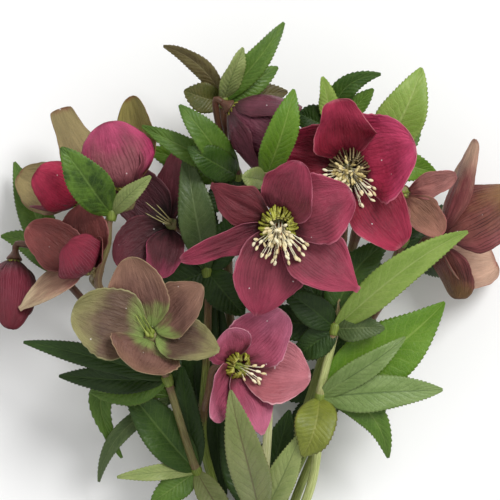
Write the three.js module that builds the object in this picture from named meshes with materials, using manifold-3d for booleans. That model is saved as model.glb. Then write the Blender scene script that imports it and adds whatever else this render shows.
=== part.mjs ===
// A bunch of cut hellebore stems, lying on its back on a flat surface.
// Millimetres. +Z is up, away from the surface. +Y runs from the cut ends to the flowers.
import * as THREE from "three";
import { mergeVertices } from "three/addons/utils/BufferGeometryUtils.js";
import Module from "manifold-3d";

const wasm = await Module();
wasm.setup();

// ---- Driving dimensions -----------------------------------------------------

const GAP = 0.3; // clearance between two pieces that touch
const STEM_RADIUS = 3.0; // at the cut end
const STEM_TOP_RADIUS = 2.2; // where the first flower stalk leaves
const STALK_RADIUS = 1.7; // flower stalk
const DISC_RADIUS = 4.5; // receptacle, the disc that carries the sepals
const DISC_DEPTH = 5;
const SIDES = 6; // of a stem's section
const STEM_STEPS = 13;
const STALK_STEPS = 7;
const SEPAL_THICK = 0.9;
const SEPAL_BASE_RADIUS = 3; // from the flower's axis to the foot of a sepal
const SEPAL_CLAW = 2.4; // width of that foot
const LEAF_THICK = 0.8;
const LEAF_FOLD = 14; // degrees that each half of a leaflet rises from its midrib
const COLLAR_HEIGHT = 5; // sheath by which a bract clasps its stem
const COLLAR_WALL = 1.6;
const BAND_THICK = 1.3;
const BAND_WIDTH = 9;
const BAND_Y = -118;
const CUT_Y = -200;
const GATHER_Y = [-100, -84]; // straight up to here, then the stems spread

// The stems are packed in three rows, three, four and three, with STEM_PITCH between neighbours.
const STEM_PITCH = 2 * STEM_RADIUS + GAP;
const ROW_STEP = (STEM_PITCH * Math.sqrt(3)) / 2;
const LOW_ROW = STEM_RADIUS + GAP + BAND_THICK;
const SLOTS = {
  low_left: [-STEM_PITCH, LOW_ROW],
  low_middle: [0, LOW_ROW],
  low_right: [STEM_PITCH, LOW_ROW],
  far_left: [-1.5 * STEM_PITCH, LOW_ROW + ROW_STEP],
  inner_left: [-0.5 * STEM_PITCH, LOW_ROW + ROW_STEP],
  inner_right: [0.5 * STEM_PITCH, LOW_ROW + ROW_STEP],
  far_right: [1.5 * STEM_PITCH, LOW_ROW + ROW_STEP],
  top_left: [-STEM_PITCH, LOW_ROW + 2 * ROW_STEP],
  top_middle: [0, LOW_ROW + 2 * ROW_STEP],
  top_right: [STEM_PITCH, LOW_ROW + 2 * ROW_STEP],
};

const COLOURS = {
  wine: 0x7d2447,
  crimson: 0x8f1f45,
  pink: 0xa23f6b,
  olive: 0x8a8a62,
  maroon: 0x54243c,
  rose: 0x9a5566,
  tan: 0x7e4350,
  dusk: 0x5f3a55,
  leaf: 0x46743a,
  stem: 0x8f9a5a,
  anther: 0xe8dfae,
  band: 0xb98d56,
};

// ---- The plan of the bunch --------------------------------------------------

// at: the flower's foot. face: the way it opens. Each sepal: turn, degrees round the axis;
// long, wide; rise, degrees from the flower's plane at its foot, middle and tip; cup, degrees
// that half its width bends through; twist, degrees about its own length; foot and point, how
// slowly it widens from its foot and narrows to its tip.
const FLOWERS = {
  wine_flower: {
    colour: "wine",
    at: [14, 98.5, 92],
    face: [0.0, -0.28, 0.96],
    centre: { reach: 11, height: 15, lean: [0, -7] },
    sepals: [
      { turn: 24, long: 38, wide: 35, rise: [22, 6, -14], cup: 20, twist: -15 },
      { turn: -40, long: 50, wide: 30, rise: [20, 4, -8], cup: 16, twist: -15, point: 1.1 },
      { turn: -103, long: 47, wide: 39, rise: [22, 4, -16], cup: 22, twist: -15, point: 0.9 },
      { turn: -160, long: 49, wide: 14, rise: [15, 6, -4], cup: 24, twist: -3 },
      { turn: 151, long: 43, wide: 22, rise: [27, 8, -56], cup: -4, twist: -14, foot: 1.6, point: 0.9 },
      { turn: 73, long: 38, wide: 31, rise: [32, 32, 10], cup: 34, twist: -20, foot: 1.3 },
    ],
  },
  crimson_flower: {
    colour: "crimson",
    at: [48, 125.5, 80],
    face: [0.1, -0.15, 0.98],
    centre: { reach: 8.5, height: 16, lean: [2, -3] },
    sepals: [
      { turn: 102, long: 39, wide: 33, rise: [34, 35, 10], cup: 34, twist: 3, foot: 2, point: 0.3 },
      { turn: 166, long: 36, wide: 36, rise: [4, -12, -18], cup: 20, twist: 0, foot: 2 },
      { turn: 240, long: 34, wide: 28, rise: [18, 0, 0], cup: 20, twist: -14 },
      { turn: 305, long: 46, wide: 32, rise: [23, 12, -14], cup: 22, twist: -14 },
      { turn: 24, long: 36, wide: 46, rise: [26, 38, 20], cup: 26, twist: -17 },
    ],
  },
  pink_flower: {
    colour: "pink",
    at: [-8, 28, 66],
    face: [0.5, -0.12, 0.86],
    centre: { reach: 7.5, height: 10, lean: [2, -2] },
    sepals: [
      { turn: 54, long: 34, wide: 32, rise: [24, 30, 18], cup: 26, twist: -15 },
      { turn: -12, long: 37, wide: 34, rise: [22, 26, 10], cup: 24, twist: -15, point: 0.6 },
      { turn: -76, long: 35, wide: 27, rise: [24, 26, 16], cup: 26, twist: -15, point: 0.8 },
      { turn: -140, long: 36, wide: 26, rise: [26, 36, 38], cup: 26, twist: -15 },
      { turn: 122, long: 28, wide: 24, rise: [24, 40, 46], cup: 26, twist: -15 },
    ],
  },
  olive_flower: {
    colour: "olive",
    at: [-49, 43, 84],
    face: [-0.04, 0.26, 0.96],
    centre: { reach: 4.5, height: 6, lean: [-1, 1] },
    sepals: [
      { turn: 166, long: 38, wide: 36, rise: [23, 15, 7], cup: 24, twist: -15 },
      { turn: 105, long: 38, wide: 31, rise: [24, 30, 34], cup: 30, twist: -15 },
      { turn: 40, long: 33, wide: 30, rise: [22, 20, 12], cup: 26, twist: -15, point: 0.7 },
      { turn: -15, long: 33, wide: 25, rise: [17, 7, -9], cup: 22, twist: -15, point: 0.7 },
      { turn: -106, long: 25, wide: 38, rise: [24, 30, 56], cup: 26, twist: -13, foot: 1, point: 0.3 },
    ],
  },
  maroon_flower: {
    colour: "maroon",
    at: [-39.5, 98, 47],
    face: [-0.3, 0.2, 0.93],
    sepals: [
      { turn: 78, long: 34, wide: 20, rise: [22, 16, 8], cup: 30, twist: -14 },
      { turn: 134, long: 36, wide: 30, rise: [22, 18, 10], cup: 24, twist: -14 },
      { turn: 222, long: 32, wide: 30, rise: [22, 18, 10], cup: 24, twist: -14 },
      { turn: 264, long: 28, wide: 20, rise: [20, 14, 20], cup: 26, twist: -14 },
      { turn: 4, long: 20, wide: 18, rise: [12, 0, -8], cup: 24, twist: -14 },
    ],
  },
  veined_flower: {
    colour: "rose",
    at: [-61, 115, 66],
    face: [-0.3, 0.95, 0],
    sepals: [
      { turn: 271, long: 40, wide: 43, rise: [34, 82, 92], cup: 46, twist: 0, foot: 0.8 },
      { turn: 132, long: 63, wide: 27, rise: [24, 70, 84], cup: 24, twist: -28, foot: 3, point: 0.25 },
      { turn: 90, long: 41, wide: 26, rise: [25, 74, 76], cup: 30, twist: 0 },
      { turn: 50, long: 56, wide: 29, rise: [22, 84, 84], cup: 30, twist: 0 },
      { turn: 8, long: 34, wide: 26, rise: [22, 84, 92], cup: 34, twist: 0, foot: 0.6 },
    ],
  },
  ruby_flower: {
    colour: "crimson",
    at: [-86, 109, 52],
    face: [-0.8, 0.55, 0.2],
    sepals: [
      { turn: 290, long: 35, wide: 27, rise: [32, 72, 80], cup: 40, twist: 0, foot: 0.6 },
      { turn: 206, long: 24, wide: 18, rise: [30, 66, 70], cup: 30, twist: 0 },
      { turn: 118, long: 40, wide: 30, rise: [25, 56, 60], cup: 30, twist: 0 },
      { turn: 60, long: 11, wide: 11, rise: [25, 66, 70], cup: 30, twist: 0 },
      { turn: 350, long: 10, wide: 10, rise: [30, 80, 90], cup: 30, twist: 0 },
    ],
  },
  rose_flower: {
    colour: "rose",
    at: [-81, 76, 66],
    face: [-0.36, 0.46, 0.81],
    sepals: [
      { turn: 142, long: 34, wide: 26, rise: [25, 30, 34], cup: 34, twist: 0 },
      { turn: 84, long: 29, wide: 28, rise: [24, 26, 20], cup: 26, twist: 0 },
      { turn: 20, long: 20, wide: 14, rise: [30, 54, 66], cup: 30, twist: 0 },
      { turn: 208, long: 37, wide: 17, rise: [15, 2, -4], cup: 24, twist: 0, point: 0.9 },
      { turn: -48, long: 35, wide: 28, rise: [50, 98, 112], cup: 36, twist: 0, foot: 0.6 },
    ],
  },
  drooping_flower: {
    colour: "crimson",
    at: [-119, 80, 42],
    face: [-0.12, -0.97, 0.2],
    sepals: [
      { turn: 76, long: 46, wide: 25, rise: [30, 80, 88], cup: 40, twist: 0, foot: 0.6 },
      { turn: 20, long: 31, wide: 15, rise: [30, 84, 92], cup: 30, twist: 0 },
      { turn: 160, long: 33, wide: 18, rise: [30, 76, 84], cup: 30, twist: 0 },
      { turn: 236, long: 34, wide: 20, rise: [30, 74, 80], cup: 30, twist: 0 },
      { turn: 308, long: 30, wide: 18, rise: [30, 76, 84], cup: 30, twist: 0 },
    ],
  },
  tan_flower: {
    colour: "tan",
    at: [95, 91, 47],
    face: [0.82, 0.05, -0.57],
    sepals: [
      { turn: 282, long: 50, wide: 18, rise: [18, 16, 14], cup: 34, twist: 0 },
      { turn: 266, long: 52, wide: 20, rise: [30, 28, 26], cup: 30, twist: 0, point: 0.8 },
      { turn: 315, long: 44, wide: 40, rise: [40, 54, 50], cup: 24, twist: 0 },
      { turn: 95, long: 31, wide: 34, rise: [20, 26, 20], cup: 28, twist: 0, point: 0.3 },
      { turn: 134, long: 59, wide: 42, rise: [25, 84, 96], cup: 30, twist: 10 },
    ],
  },
  dusty_flower: {
    colour: "rose",
    at: [76.5, 113.5, 65],
    face: [0.45, -0.2, 0.85],
    sepals: [
      { turn: 18, long: 25, wide: 14, rise: [20, 14, 20], cup: 40, twist: 0 },
      { turn: -52, long: 26, wide: 18, rise: [26, 24, 14], cup: 34, twist: 0 },
      { turn: 130, long: 13, wide: 11, rise: [25, 50, 60], cup: 30, twist: 0 },
      { turn: 176, long: 13, wide: 11, rise: [25, 60, 70], cup: 30, twist: 0 },
      { turn: 236, long: 16, wide: 12, rise: [25, 50, 60], cup: 30, twist: 0 },
    ],
  },
  dusky_flower: {
    colour: "dusk",
    at: [-10, 156, 67],
    face: [0.82, -0.52, -0.1],
    sepals: [
      { turn: 84, long: 38, wide: 36, rise: [35, 82, 88], cup: 48, twist: 0, foot: 0.4 },
      { turn: 18, long: 36, wide: 26, rise: [32, 66, 74], cup: 34, twist: 0, foot: 0.6 },
      { turn: 156, long: 36, wide: 28, rise: [32, 66, 74], cup: 34, twist: 0, foot: 0.6 },
      { turn: 232, long: 32, wide: 22, rise: [30, 66, 74], cup: 30, twist: 0 },
      { turn: 306, long: 32, wide: 22, rise: [30, 66, 74], cup: 30, twist: 0 },
    ],
  },
};

// Each stem: the slot it fills in the bunch, where it is cut, the points it then follows,
// and its side branches. A branch or a stem that names a flower ends in that flower's disc.
const STEMS = {
  stem_olive: {
    slot: "top_left",
    cut: 0,
    path: [[-20, -42, 27], [-27, -27, 35], [-41.5, 20.5, 60], [-45, 30, 69]],
    flower: "olive_flower",
  },
  stem_maroon: {
    slot: "inner_left",
    cut: 3,
    path: [[-17, -40, 16], [-24, -10, 26], [-22, 30, 38], [-21.7, 74, 42], [-25, 86, 41]],
    flower: "maroon_flower",
    branches: [{ path: [[-23.6, 2, 29.5], [-21, 14, 42], [-18, 26, 54]], flower: "pink_flower" }],
  },
  stem_wine: {
    slot: "top_middle",
    cut: 2,
    path: [[5, -52, 26], [9.5, 5, 48], [9, 45, 60], [9, 70, 66], [13, 94, 76]],
    flower: "wine_flower",
    branches: [{ path: [[9, 62, 64], [6, 92, 64], [7.5, 119, 74], [8.5, 124, 79]] }],
  },
  stem_crimson: {
    slot: "top_right",
    cut: 0,
    path: [[29, -40, 32], [34, -16, 42], [35, 11, 52], [42.5, 46, 60], [46, 80, 60], [48, 112, 62]],
    flower: "crimson_flower",
  },
  stem_tan: {
    slot: "far_right",
    cut: 4,
    path: [[24, -40, 17], [40, 0, 34], [47, 23, 42], [58, 45, 46], [70.5, 64, 44], [82, 80, 42]],
    flower: "tan_flower",
    branches: [{ path: [[75, 70, 43.5], [75, 88, 46], [75.5, 103, 50]], flower: "dusty_flower" }],
  },
  stem_rose: {
    slot: "far_left",
    cut: 1,
    path: [[-24, -40, 16], [-38, 10, 30], [-60, 45, 44], [-76, 68, 58], [-71, 88, 65], [-69, 103, 65]],
    flower: "veined_flower",
    branches: [
      { path: [[-73, 63, 54.5], [-79, 70, 53]], flower: "rose_flower" },
      { path: [[-74.6, 74, 60.5], [-76, 88, 54], [-77, 97, 50]], flower: "ruby_flower" },
    ],
  },
  stem_drooping: {
    slot: "low_left",
    cut: 5,
    path: [[-24, -40, 8], [-62, 30, 20], [-95, 72, 36], [-105.5, 85, 44], [-110, 87, 46]],
    flower: "drooping_flower",
  },
  stem_dusky: {
    slot: "low_middle",
    cut: 0,
    path: [[-4, -40, 8], [-10, 40, 22], [-12, 110, 38], [-13.5, 160, 49], [-13.8, 166, 50.5]],
    branches: [{ path: [[-12, 112, 38.4], [-6, 122, 50], [-14, 141, 58]], flower: "dusky_flower" }],
  },
  stem_right: {
    slot: "inner_right",
    cut: 2,
    path: [[14, -40, 16], [34, 20, 28], [50, 80, 36], [65, 132, 43.5], [67, 138, 44.5]],
    branches: [{ path: [[54, 94, 37.8], [46, 124, 41], [43, 145, 45], [42.4, 150, 46.5]] }],
  },
  stem_low_right: {
    slot: "low_right",
    cut: 3,
    path: [[18, -40, 7], [48, 20, 14], [78, 90, 27], [80, 96, 28.5]],
  },
};

// Each bract: the stem that it clasps, where, and its leaflets. A leaflet: its tip, width,
// the height of its arch above the straight line to the tip, roll, degrees about its midrib,
// and sweep, how far it bows to its left.
const BRACTS = {
  bract_top: {
    on: "stem_dusky",
    node: 3,
    leaflets: [
      { tip: [-43.5, 187.5, 50], wide: 10, arch: 5, roll: -30, sweep: -5 },
      { tip: [-33, 165, 52], wide: 15, arch: 3, roll: 0, sweep: 1 },
      { tip: [-3.5, 186, 64], wide: 12, arch: 6, roll: 40 },
      { tip: [17, 199, 56], wide: 12, arch: 6, roll: 0, sweep: -0.5 },
      { tip: [14, 177, 46], wide: 13, arch: 4, roll: 10 },
      { tip: [19, 165, 38], wide: 14, arch: 0, roll: 0 },
    ],
  },
  bract_upper_left: {
    on: "stem_dusky",
    branch: 0,
    node: 1,
    leaflets: [
      { tip: [-35, 157, 74], wide: 15, arch: 12, roll: 10 },
      { tip: [-31, 136, 73], wide: 15, arch: 8, roll: 0 },
      { tip: [-54, 147, 61], wide: 12, arch: 6, roll: 0 },
      { tip: [6, 97, 50], wide: 15, arch: 0, roll: 0 },
      { tip: [-52, 136, 42], wide: 18, arch: 0, roll: 0 },
      { tip: [-20, 104, 50], wide: 15, arch: 0, roll: 0 },
    ],
  },
  bract_upper_right: {
    on: "stem_right",
    branch: 0,
    node: 2,
    leaflets: [
      { tip: [65.5, 173, 58], wide: 11, arch: 4, roll: 0, sweep: 10 },
      { tip: [36, 171.5, 64], wide: 10, arch: 2, roll: 20 },
      { tip: [24, 154, 50], wide: 18, arch: 6, roll: 0 },
      { tip: [62, 166, 50], wide: 10, arch: 0, roll: 0 },
    ],
  },
  bract_right_edge: {
    on: "stem_right",
    node: 3,
    leaflets: [
      { tip: [86, 176.5, 52], wide: 23, arch: 8, roll: 0, sweep: -1 },
      { tip: [86, 147, 44], wide: 15, arch: 4, roll: 0 },
      { tip: [94, 124, 40], wide: 15, arch: 4, roll: 0 },
    ],
  },
  bract_back_right: {
    on: "stem_low_right",
    node: 2,
    leaflets: [
      { tip: [85, 120, 34], wide: 16, arch: 4, roll: 0 },
      { tip: [106, 108, 6], wide: 15, arch: 1, roll: 0 },
      { tip: [104, 72, 0.6], wide: 16, arch: 6, roll: 0 },
    ],
  },
  bract_centre: {
    on: "stem_wine",
    branch: 0,
    node: 2,
    leaflets: [
      { tip: [21.5, 164, 94], wide: 15, arch: 11, roll: 0 },
      { tip: [-4, 121, 98], wide: 11, arch: 6, roll: 0 },
    ],
  },
  bract_left: {
    on: "stem_rose",
    node: 5,
    leaflets: [
      { tip: [-93, 135.5, 92], wide: 20, arch: 8, roll: 0 },
      { tip: [-49, 121.5, 86], wide: 8, arch: 4, roll: 0 },
    ],
  },
  bract_far_left: {
    on: "stem_drooping",
    node: 2,
    leaflets: [
      { tip: [-120.5, 130, 14], wide: 17, arch: 0, roll: 0, sweep: 1 },
      { tip: [-127, 92, 20], wide: 13, arch: 0, roll: 0, sweep: -5 },
      { tip: [-72, 96, 12], wide: 16, arch: 6, roll: 0 },
    ],
  },
  bract_inner_left: {
    on: "stem_maroon",
    node: 3,
    leaflets: [
      { tip: [-32, 134, 54], wide: 17, arch: 16, roll: 0 },
      { tip: [-3, 52, 46], wide: 18, arch: 4, roll: 0 },
      { tip: [-24, 118, 38], wide: 14, arch: 0, roll: 0 },
      { tip: [-54, 62, 30], wide: 18, arch: 6, roll: 0 },
      { tip: [-6, 104, 50], wide: 16, arch: 2, roll: 0 },
      { tip: [-29, -20, 14], wide: 17, arch: 0, roll: 0 },
      { tip: [-14, -52, 2], wide: 19, arch: 0, roll: 0 },
    ],
  },
  bract_olive: {
    on: "stem_olive",
    node: 2,
    leaflets: [
      { tip: [-113, 39, 64], wide: 11, arch: 8, roll: 0, sweep: -2 },
      { tip: [-95.5, 22, 60], wide: 13, arch: 5, roll: 0 },
      { tip: [-80, 14, 54], wide: 14, arch: 4, roll: 0, sweep: 2 },
    ],
  },
  bract_low_left: {
    on: "stem_rose",
    node: 1,
    leaflets: [
      { tip: [-65, -20.5, 30], wide: 13, arch: 8, roll: 0, sweep: -29 },
      { tip: [-77, -33, 22], wide: 8, arch: 14, roll: 0, sweep: -9 },
      { tip: [-50, 50, 20], wide: 16, arch: 2, roll: 0 },
    ],
  },
  bract_front_left: {
    on: "stem_olive",
    node: 1,
    leaflets: [
      { tip: [-64, 16, 50], wide: 22, arch: 6, roll: 0 },
      { tip: [-67, -29.5, 44], wide: 7, arch: 5, roll: 0, sweep: -1 },
      { tip: [-8, -58, 40], wide: 13, arch: 6, roll: 0 },
      { tip: [-34, 26, 40], wide: 14, arch: 0, roll: 0, sweep: 2 },
      { tip: [-50, -43, 36], wide: 14, arch: 4, roll: 0 },
    ],
  },
  bract_front: {
    on: "stem_wine",
    node: 0,
    leaflets: [
      { tip: [-9.5, 16, 90], wide: 19, arch: 16, roll: 0 },
      { tip: [27, -5, 62], wide: 14, arch: 5, roll: 0 },
      { tip: [-13, 4, 23], wide: 20, arch: 0, roll: 0 },
      { tip: [20, 4, 34], wide: 20, arch: 0, roll: 0 },
    ],
  },
  bract_right: {
    on: "stem_crimson",
    node: 3,
    leaflets: [
      { tip: [107.5, 94, 88], wide: 17, arch: 8, roll: 0, sweep: 5 },
      { tip: [67, 46, 67], wide: 13, arch: 4, roll: 0 },
      { tip: [16, 66, 68], wide: 15, arch: 4, roll: 0 },
      { tip: [22, 30, 50], wide: 15, arch: 4, roll: 0 },
      { tip: [66, 78, 52], wide: 16, arch: 4, roll: 0 },
      { tip: [70, 90, 57], wide: 19, arch: 4, roll: 0, sweep: 6 },
      { tip: [-1, 51, 53], wide: 18, arch: 0, roll: 0 },
      { tip: [26, 73, 58], wide: 16, arch: 2, roll: 0 },
    ],
  },
  bract_front_right: {
    on: "stem_crimson",
    node: 2,
    leaflets: [
      { tip: [26, -18, 60], wide: 21, arch: 8, roll: 0, sweep: 2 },
      { tip: [77.5, 41.5, 62], wide: 12, arch: 8, roll: 0 },
      { tip: [96.5, 15, 56], wide: 18, arch: 6, roll: 0, sweep: 0.5 },
      { tip: [69.5, -19.5, 48], wide: 14, arch: 8, roll: 0, sweep: 10.5 },
      { tip: [85.5, 35, 52], wide: 21, arch: 4, roll: 0, sweep: -4 },
      { tip: [97.5, 59, 56], wide: 32, arch: 4, roll: 0, sweep: -2 },
    ],
  },
  bract_low_right: {
    on: "stem_low_right",
    node: 1,
    leaflets: [
      { tip: [84, 44, 0.6], wide: 16, arch: 6, roll: 0 },
      { tip: [56, 8, 1], wide: 16, arch: 2, roll: 0 },
      { tip: [26, 66, 6], wide: 20, arch: 6, roll: 0 },
      { tip: [16, 10, 12], wide: 16, arch: 6, roll: 0 },
      { tip: [12, -26, 3], wide: 18, arch: -2, roll: 0 },
    ],
  },
};

// ---- Geometry ---------------------------------------------------------------

const vector = (p) => new THREE.Vector3(...p);
const radians = (degrees) => (degrees * Math.PI) / 180;
const lerp = THREE.MathUtils.lerp;

// Moves every vertex of a closed geometry and leaves it with shared vertices only.
function warp(geometry, place) {
  const positions = geometry.getAttribute("position");
  const moved = new THREE.BufferGeometry();
  const points = [];
  for (let i = 0; i < positions.count; i++) {
    points.push(place(positions.getX(i), positions.getY(i), positions.getZ(i)));
  }
  moved.setFromPoints(points);
  moved.setIndex(geometry.getIndex());
  return mergeVertices(moved, 1e-4);
}

function solidOf(geometry) {
  const mesh = new wasm.Mesh({
    numProp: 3,
    vertProperties: new Float32Array(geometry.getAttribute("position").array),
    triVerts: new Uint32Array(geometry.getIndex().array),
  });
  return new wasm.Manifold(mesh);
}

function geometryOf(solid) {
  const mesh = solid.getMesh();
  const geometry = new THREE.BufferGeometry();
  geometry.setAttribute("position", new THREE.BufferAttribute(mesh.vertProperties, 3));
  geometry.setIndex(new THREE.BufferAttribute(mesh.triVerts, 1));
  return geometry;
}

const joined = (solids) => solids.reduce((whole, part) => whole.add(part));

// The largest body of a solid that a cut has left with small loose chips.
const largest = (solid) => solid.decompose().reduce((a, b) => (a.volume() > b.volume() ? a : b));

// A round bar along a curve, radius going evenly from one end to the other.
function bar(points, radius, endRadius, steps) {
  const curve = new THREE.CatmullRomCurve3(points.map(vector), false, "centripetal");
  const frames = curve.computeFrenetFrames(steps);
  return warp(new THREE.CylinderGeometry(1, 1, 1, SIDES, steps), (x, y, z) => {
    const along = y + 0.5;
    const step = Math.round(along * steps);
    const reach = lerp(radius, endRadius, along);
    return curve
      .getPointAt(along)
      .addScaledVector(frames.normals[step], x * reach)
      .addScaledVector(frames.binormals[step], -z * reach);
  });
}

// A thin curved sheet along a curve. sideOf gives the direction across it, widthOf its width,
// and bend the shape of its section: how far out and how far up a point of it lies. A crowding
// above 1 puts its cross lines closer together towards the tip.
function blade({ curve, sideOf, widthOf, bend, thick, across, along, crowding = 1 }) {
  return warp(new THREE.BoxGeometry(1, 1, 1, across, along, 1), (x, y, z) => {
    const v = 1 - (0.5 - y) ** crowding;
    const tangent = curve.getTangent(v);
    const side = sideOf(tangent);
    const normal = side.clone().cross(tangent).normalize();
    const [out, up] = bend(2 * x, widthOf(v) / 2);
    return curve
      .getPoint(v)
      .addScaledVector(side, out)
      .addScaledVector(normal, up + thick * z);
  });
}

const arcSection = (degrees) => (u, half) => {
  const angle = radians(degrees);
  const radius = half / angle;
  return [radius * Math.sin(u * angle), radius * (1 - Math.cos(u * angle))];
};

const foldSection = (degrees) => (u, half) => {
  const angle = radians(degrees);
  return [u * half * Math.cos(angle), Math.abs(u) * half * Math.sin(angle)];
};

// ---- Flowers ----------------------------------------------------------------

// The matrix that stands a flower's own frame, its axis along +Z, where the flower is.
function flowerFrame({ at, face }) {
  const axis = vector(face).normalize();
  const right = new THREE.Vector3(1, 0, 0).addScaledVector(axis, -axis.x).normalize();
  const up = axis.clone().cross(right);
  return new THREE.Matrix4().makeBasis(right, up, axis).setPosition(vector(at));
}

function sepal(shape, across, along) {
  const { turn, long, wide, rise, cup, twist, foot = 1, point = 0.45 } = shape;
  const out = new THREE.Vector3(Math.cos(radians(turn)), Math.sin(radians(turn)), 0);
  const side = new THREE.Vector3(out.y, -out.x, 0);
  const points = [out.clone().multiplyScalar(SEPAL_BASE_RADIUS)];
  points[0].z = GAP + SEPAL_THICK / 2;
  for (const angle of rise) {
    const step = out.clone().multiplyScalar((Math.cos(radians(angle)) * long) / 3);
    step.z = (Math.sin(radians(angle)) * long) / 3;
    points.push(points.at(-1).clone().add(step));
  }
  return blade({
    curve: new THREE.CubicBezierCurve3(...points),
    sideOf: (tangent) => side.clone().applyAxisAngle(tangent, radians(twist)),
    widthOf: (v) => Math.max(SEPAL_CLAW, wide * Math.sin(Math.PI * v ** 0.85) ** lerp(foot, point, v)),
    bend: arcSection(cup),
    thick: SEPAL_THICK,
    across,
    along,
    crowding: 1.4,
  });
}

// The receptacle: a cone that widens to the disc, with its top face at the flower's foot.
const discProfile = [
  [0, -DISC_DEPTH],
  [STALK_RADIUS, -DISC_DEPTH],
  [DISC_RADIUS, -1.2],
  [DISC_RADIUS, 0],
  [0, 0],
];

const CENTRE_STALK = 1.8;

// Nectaries, stamens and carpels as one crown on a short stalk, leaning the way they hang.
function crown({ reach, height, lean }) {
  const profile = [
    [0, GAP],
    [CENTRE_STALK, GAP],
    [CENTRE_STALK, 3],
    [0.8 * reach, 0.45 * height + 1],
    [reach, 0.7 * height],
    [0.6 * reach, height],
    [0, height],
  ];
  return warp(turned(profile, 12), (x, y, z) => {
    const share = THREE.MathUtils.smoothstep(z, 3, height);
    return new THREE.Vector3(x + lean[0] * share, y + lean[1] * share, z);
  });
}

// A solid of revolution about +Z from [radius, height] points that start and end on the axis.
function turned(profile, segments) {
  const lathe = new THREE.LatheGeometry(
    profile.map(([radius, height]) => new THREE.Vector2(radius, height)),
    segments,
  );
  return warp(lathe.rotateX(Math.PI / 2), (x, y, z) => new THREE.Vector3(x, y, z));
}

// ---- Stems ------------------------------------------------------------------

// The last two points of a stalk, straight into the back of its flower's disc.
function stalkEnd(name) {
  const frame = flowerFrame(FLOWERS[name]);
  const end = new THREE.Vector3(0, 0, 0.5 - DISC_DEPTH).applyMatrix4(frame);
  const before = new THREE.Vector3(0, 0, -DISC_DEPTH - 3).applyMatrix4(frame);
  return [before.toArray(), end.toArray()];
}

const discOf = (name) => solidOf(turned(discProfile, 10).applyMatrix4(flowerFrame(FLOWERS[name])));

// A line of points whose last stretch is longer by extra.
function lengthened(points, extra) {
  const last = vector(points.at(-1));
  const beyond = last.clone().sub(vector(points.at(-2))).setLength(extra);
  return [...points.slice(0, -1), last.add(beyond).toArray()];
}

// The bars of a stem and its branches, thicker and longer by grow, with the discs of its flowers.
function stemSolids({ slot, cut, path, flower, branches = [] }, grow = 0) {
  const [x, z] = SLOTS[slot];
  const gathered = [CUT_Y + cut, ...GATHER_Y].map((y) => [x, y, z]);
  const points = lengthened([...gathered, ...path, ...(flower ? stalkEnd(flower) : [])], grow);
  const endRadius = flower ? STALK_RADIUS : STEM_TOP_RADIUS;
  const solids = [solidOf(bar(points, STEM_RADIUS + grow, endRadius + grow, STEM_STEPS))];
  if (flower) solids.push(discOf(flower));
  for (const branch of branches) {
    const line = lengthened([...branch.path, ...(branch.flower ? stalkEnd(branch.flower) : [])], grow);
    solids.push(solidOf(bar(line, STALK_RADIUS + grow, STALK_RADIUS + grow, STALK_STEPS)));
    if (branch.flower) solids.push(discOf(branch.flower));
  }
  return solids;
}

// ---- Bracts -----------------------------------------------------------------

// The point where a bract clasps its stem, and the stem's direction there.
function seatOf({ on, branch, node }) {
  const stem = STEMS[on];
  const path = branch === undefined ? stem.path : stem.branches[branch].path;
  const before = vector(path[Math.max(node - 1, 0)]);
  const after = vector(path[Math.min(node + 1, path.length - 1)]);
  return { at: path[node], direction: after.sub(before).normalize() };
}

function leaflet(at, { tip, wide, arch, roll, sweep = 0 }) {
  const start = vector(at);
  const end = vector(tip);
  const facing = new THREE.Vector3(0, 0, 1);
  const left = facing.clone().cross(end.clone().sub(start)).normalize();
  const lift = left.multiplyScalar(sweep * 1.3).addScaledVector(facing, arch * 1.3);
  const curve = new THREE.CubicBezierCurve3(
    start,
    start.clone().lerp(end, 0.33).add(lift),
    start.clone().lerp(end, 0.67).add(lift),
    end,
  );
  return blade({
    curve,
    sideOf: (along) => along.clone().cross(facing).normalize().applyAxisAngle(along, radians(roll)),
    widthOf: (v) => Math.max(1.6, wide * Math.sin(Math.PI * v ** 0.8) ** 0.85),
    bend: foldSection(LEAF_FOLD),
    thick: LEAF_THICK,
    across: 2,
    along: 5,
  });
}

function bract(spec) {
  const { at, direction } = seatOf(spec);
  const radius = STEM_RADIUS + COLLAR_WALL;
  const half = COLLAR_HEIGHT / 2;
  const collar = turned([[0, -half], [radius, -half], [radius, half], [0, half]], 8);
  const upright = new THREE.Vector3(0, 0, 1);
  collar.applyQuaternion(new THREE.Quaternion().setFromUnitVectors(upright, direction));
  collar.translate(...at);
  const whole = joined([solidOf(collar), ...spec.leaflets.map((one) => solidOf(leaflet(at, one)))]);
  return largest(whole.subtract(joined(stemSolids(STEMS[spec.on], GAP))));
}

// ---- Band -------------------------------------------------------------------

// The outline round the six outer stems, at a distance from their centres.
function bandOutline(outline, distance) {
  const corners = ["low_right", "far_right", "top_right", "top_left", "far_left", "low_left"];
  corners.forEach((corner, i) => {
    const start = radians(60 * i - 90);
    outline.absarc(...SLOTS[corner], distance, start, start + radians(60), false);
  });
  outline.closePath();
  return outline;
}

function band() {
  const inner = STEM_RADIUS + GAP;
  const shape = bandOutline(new THREE.Shape(), inner + BAND_THICK);
  shape.holes.push(bandOutline(new THREE.Path(), inner));
  const size = { depth: BAND_WIDTH, bevelEnabled: false, curveSegments: 2 };
  const ring = new THREE.ExtrudeGeometry(shape, size);
  ring.rotateX(Math.PI / 2);
  ring.translate(0, BAND_Y + BAND_WIDTH / 2, 0);
  return ring;
}

// ---- The bunch --------------------------------------------------------------

const bunch = new THREE.Group();

function add(name, geometry, colour) {
  const finish = { color: COLOURS[colour], roughness: 0.6, metalness: 0 };
  const material = new THREE.MeshStandardMaterial(finish);
  const mesh = new THREE.Mesh(geometry, material);
  mesh.name = name;
  bunch.add(mesh);
}

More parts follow.
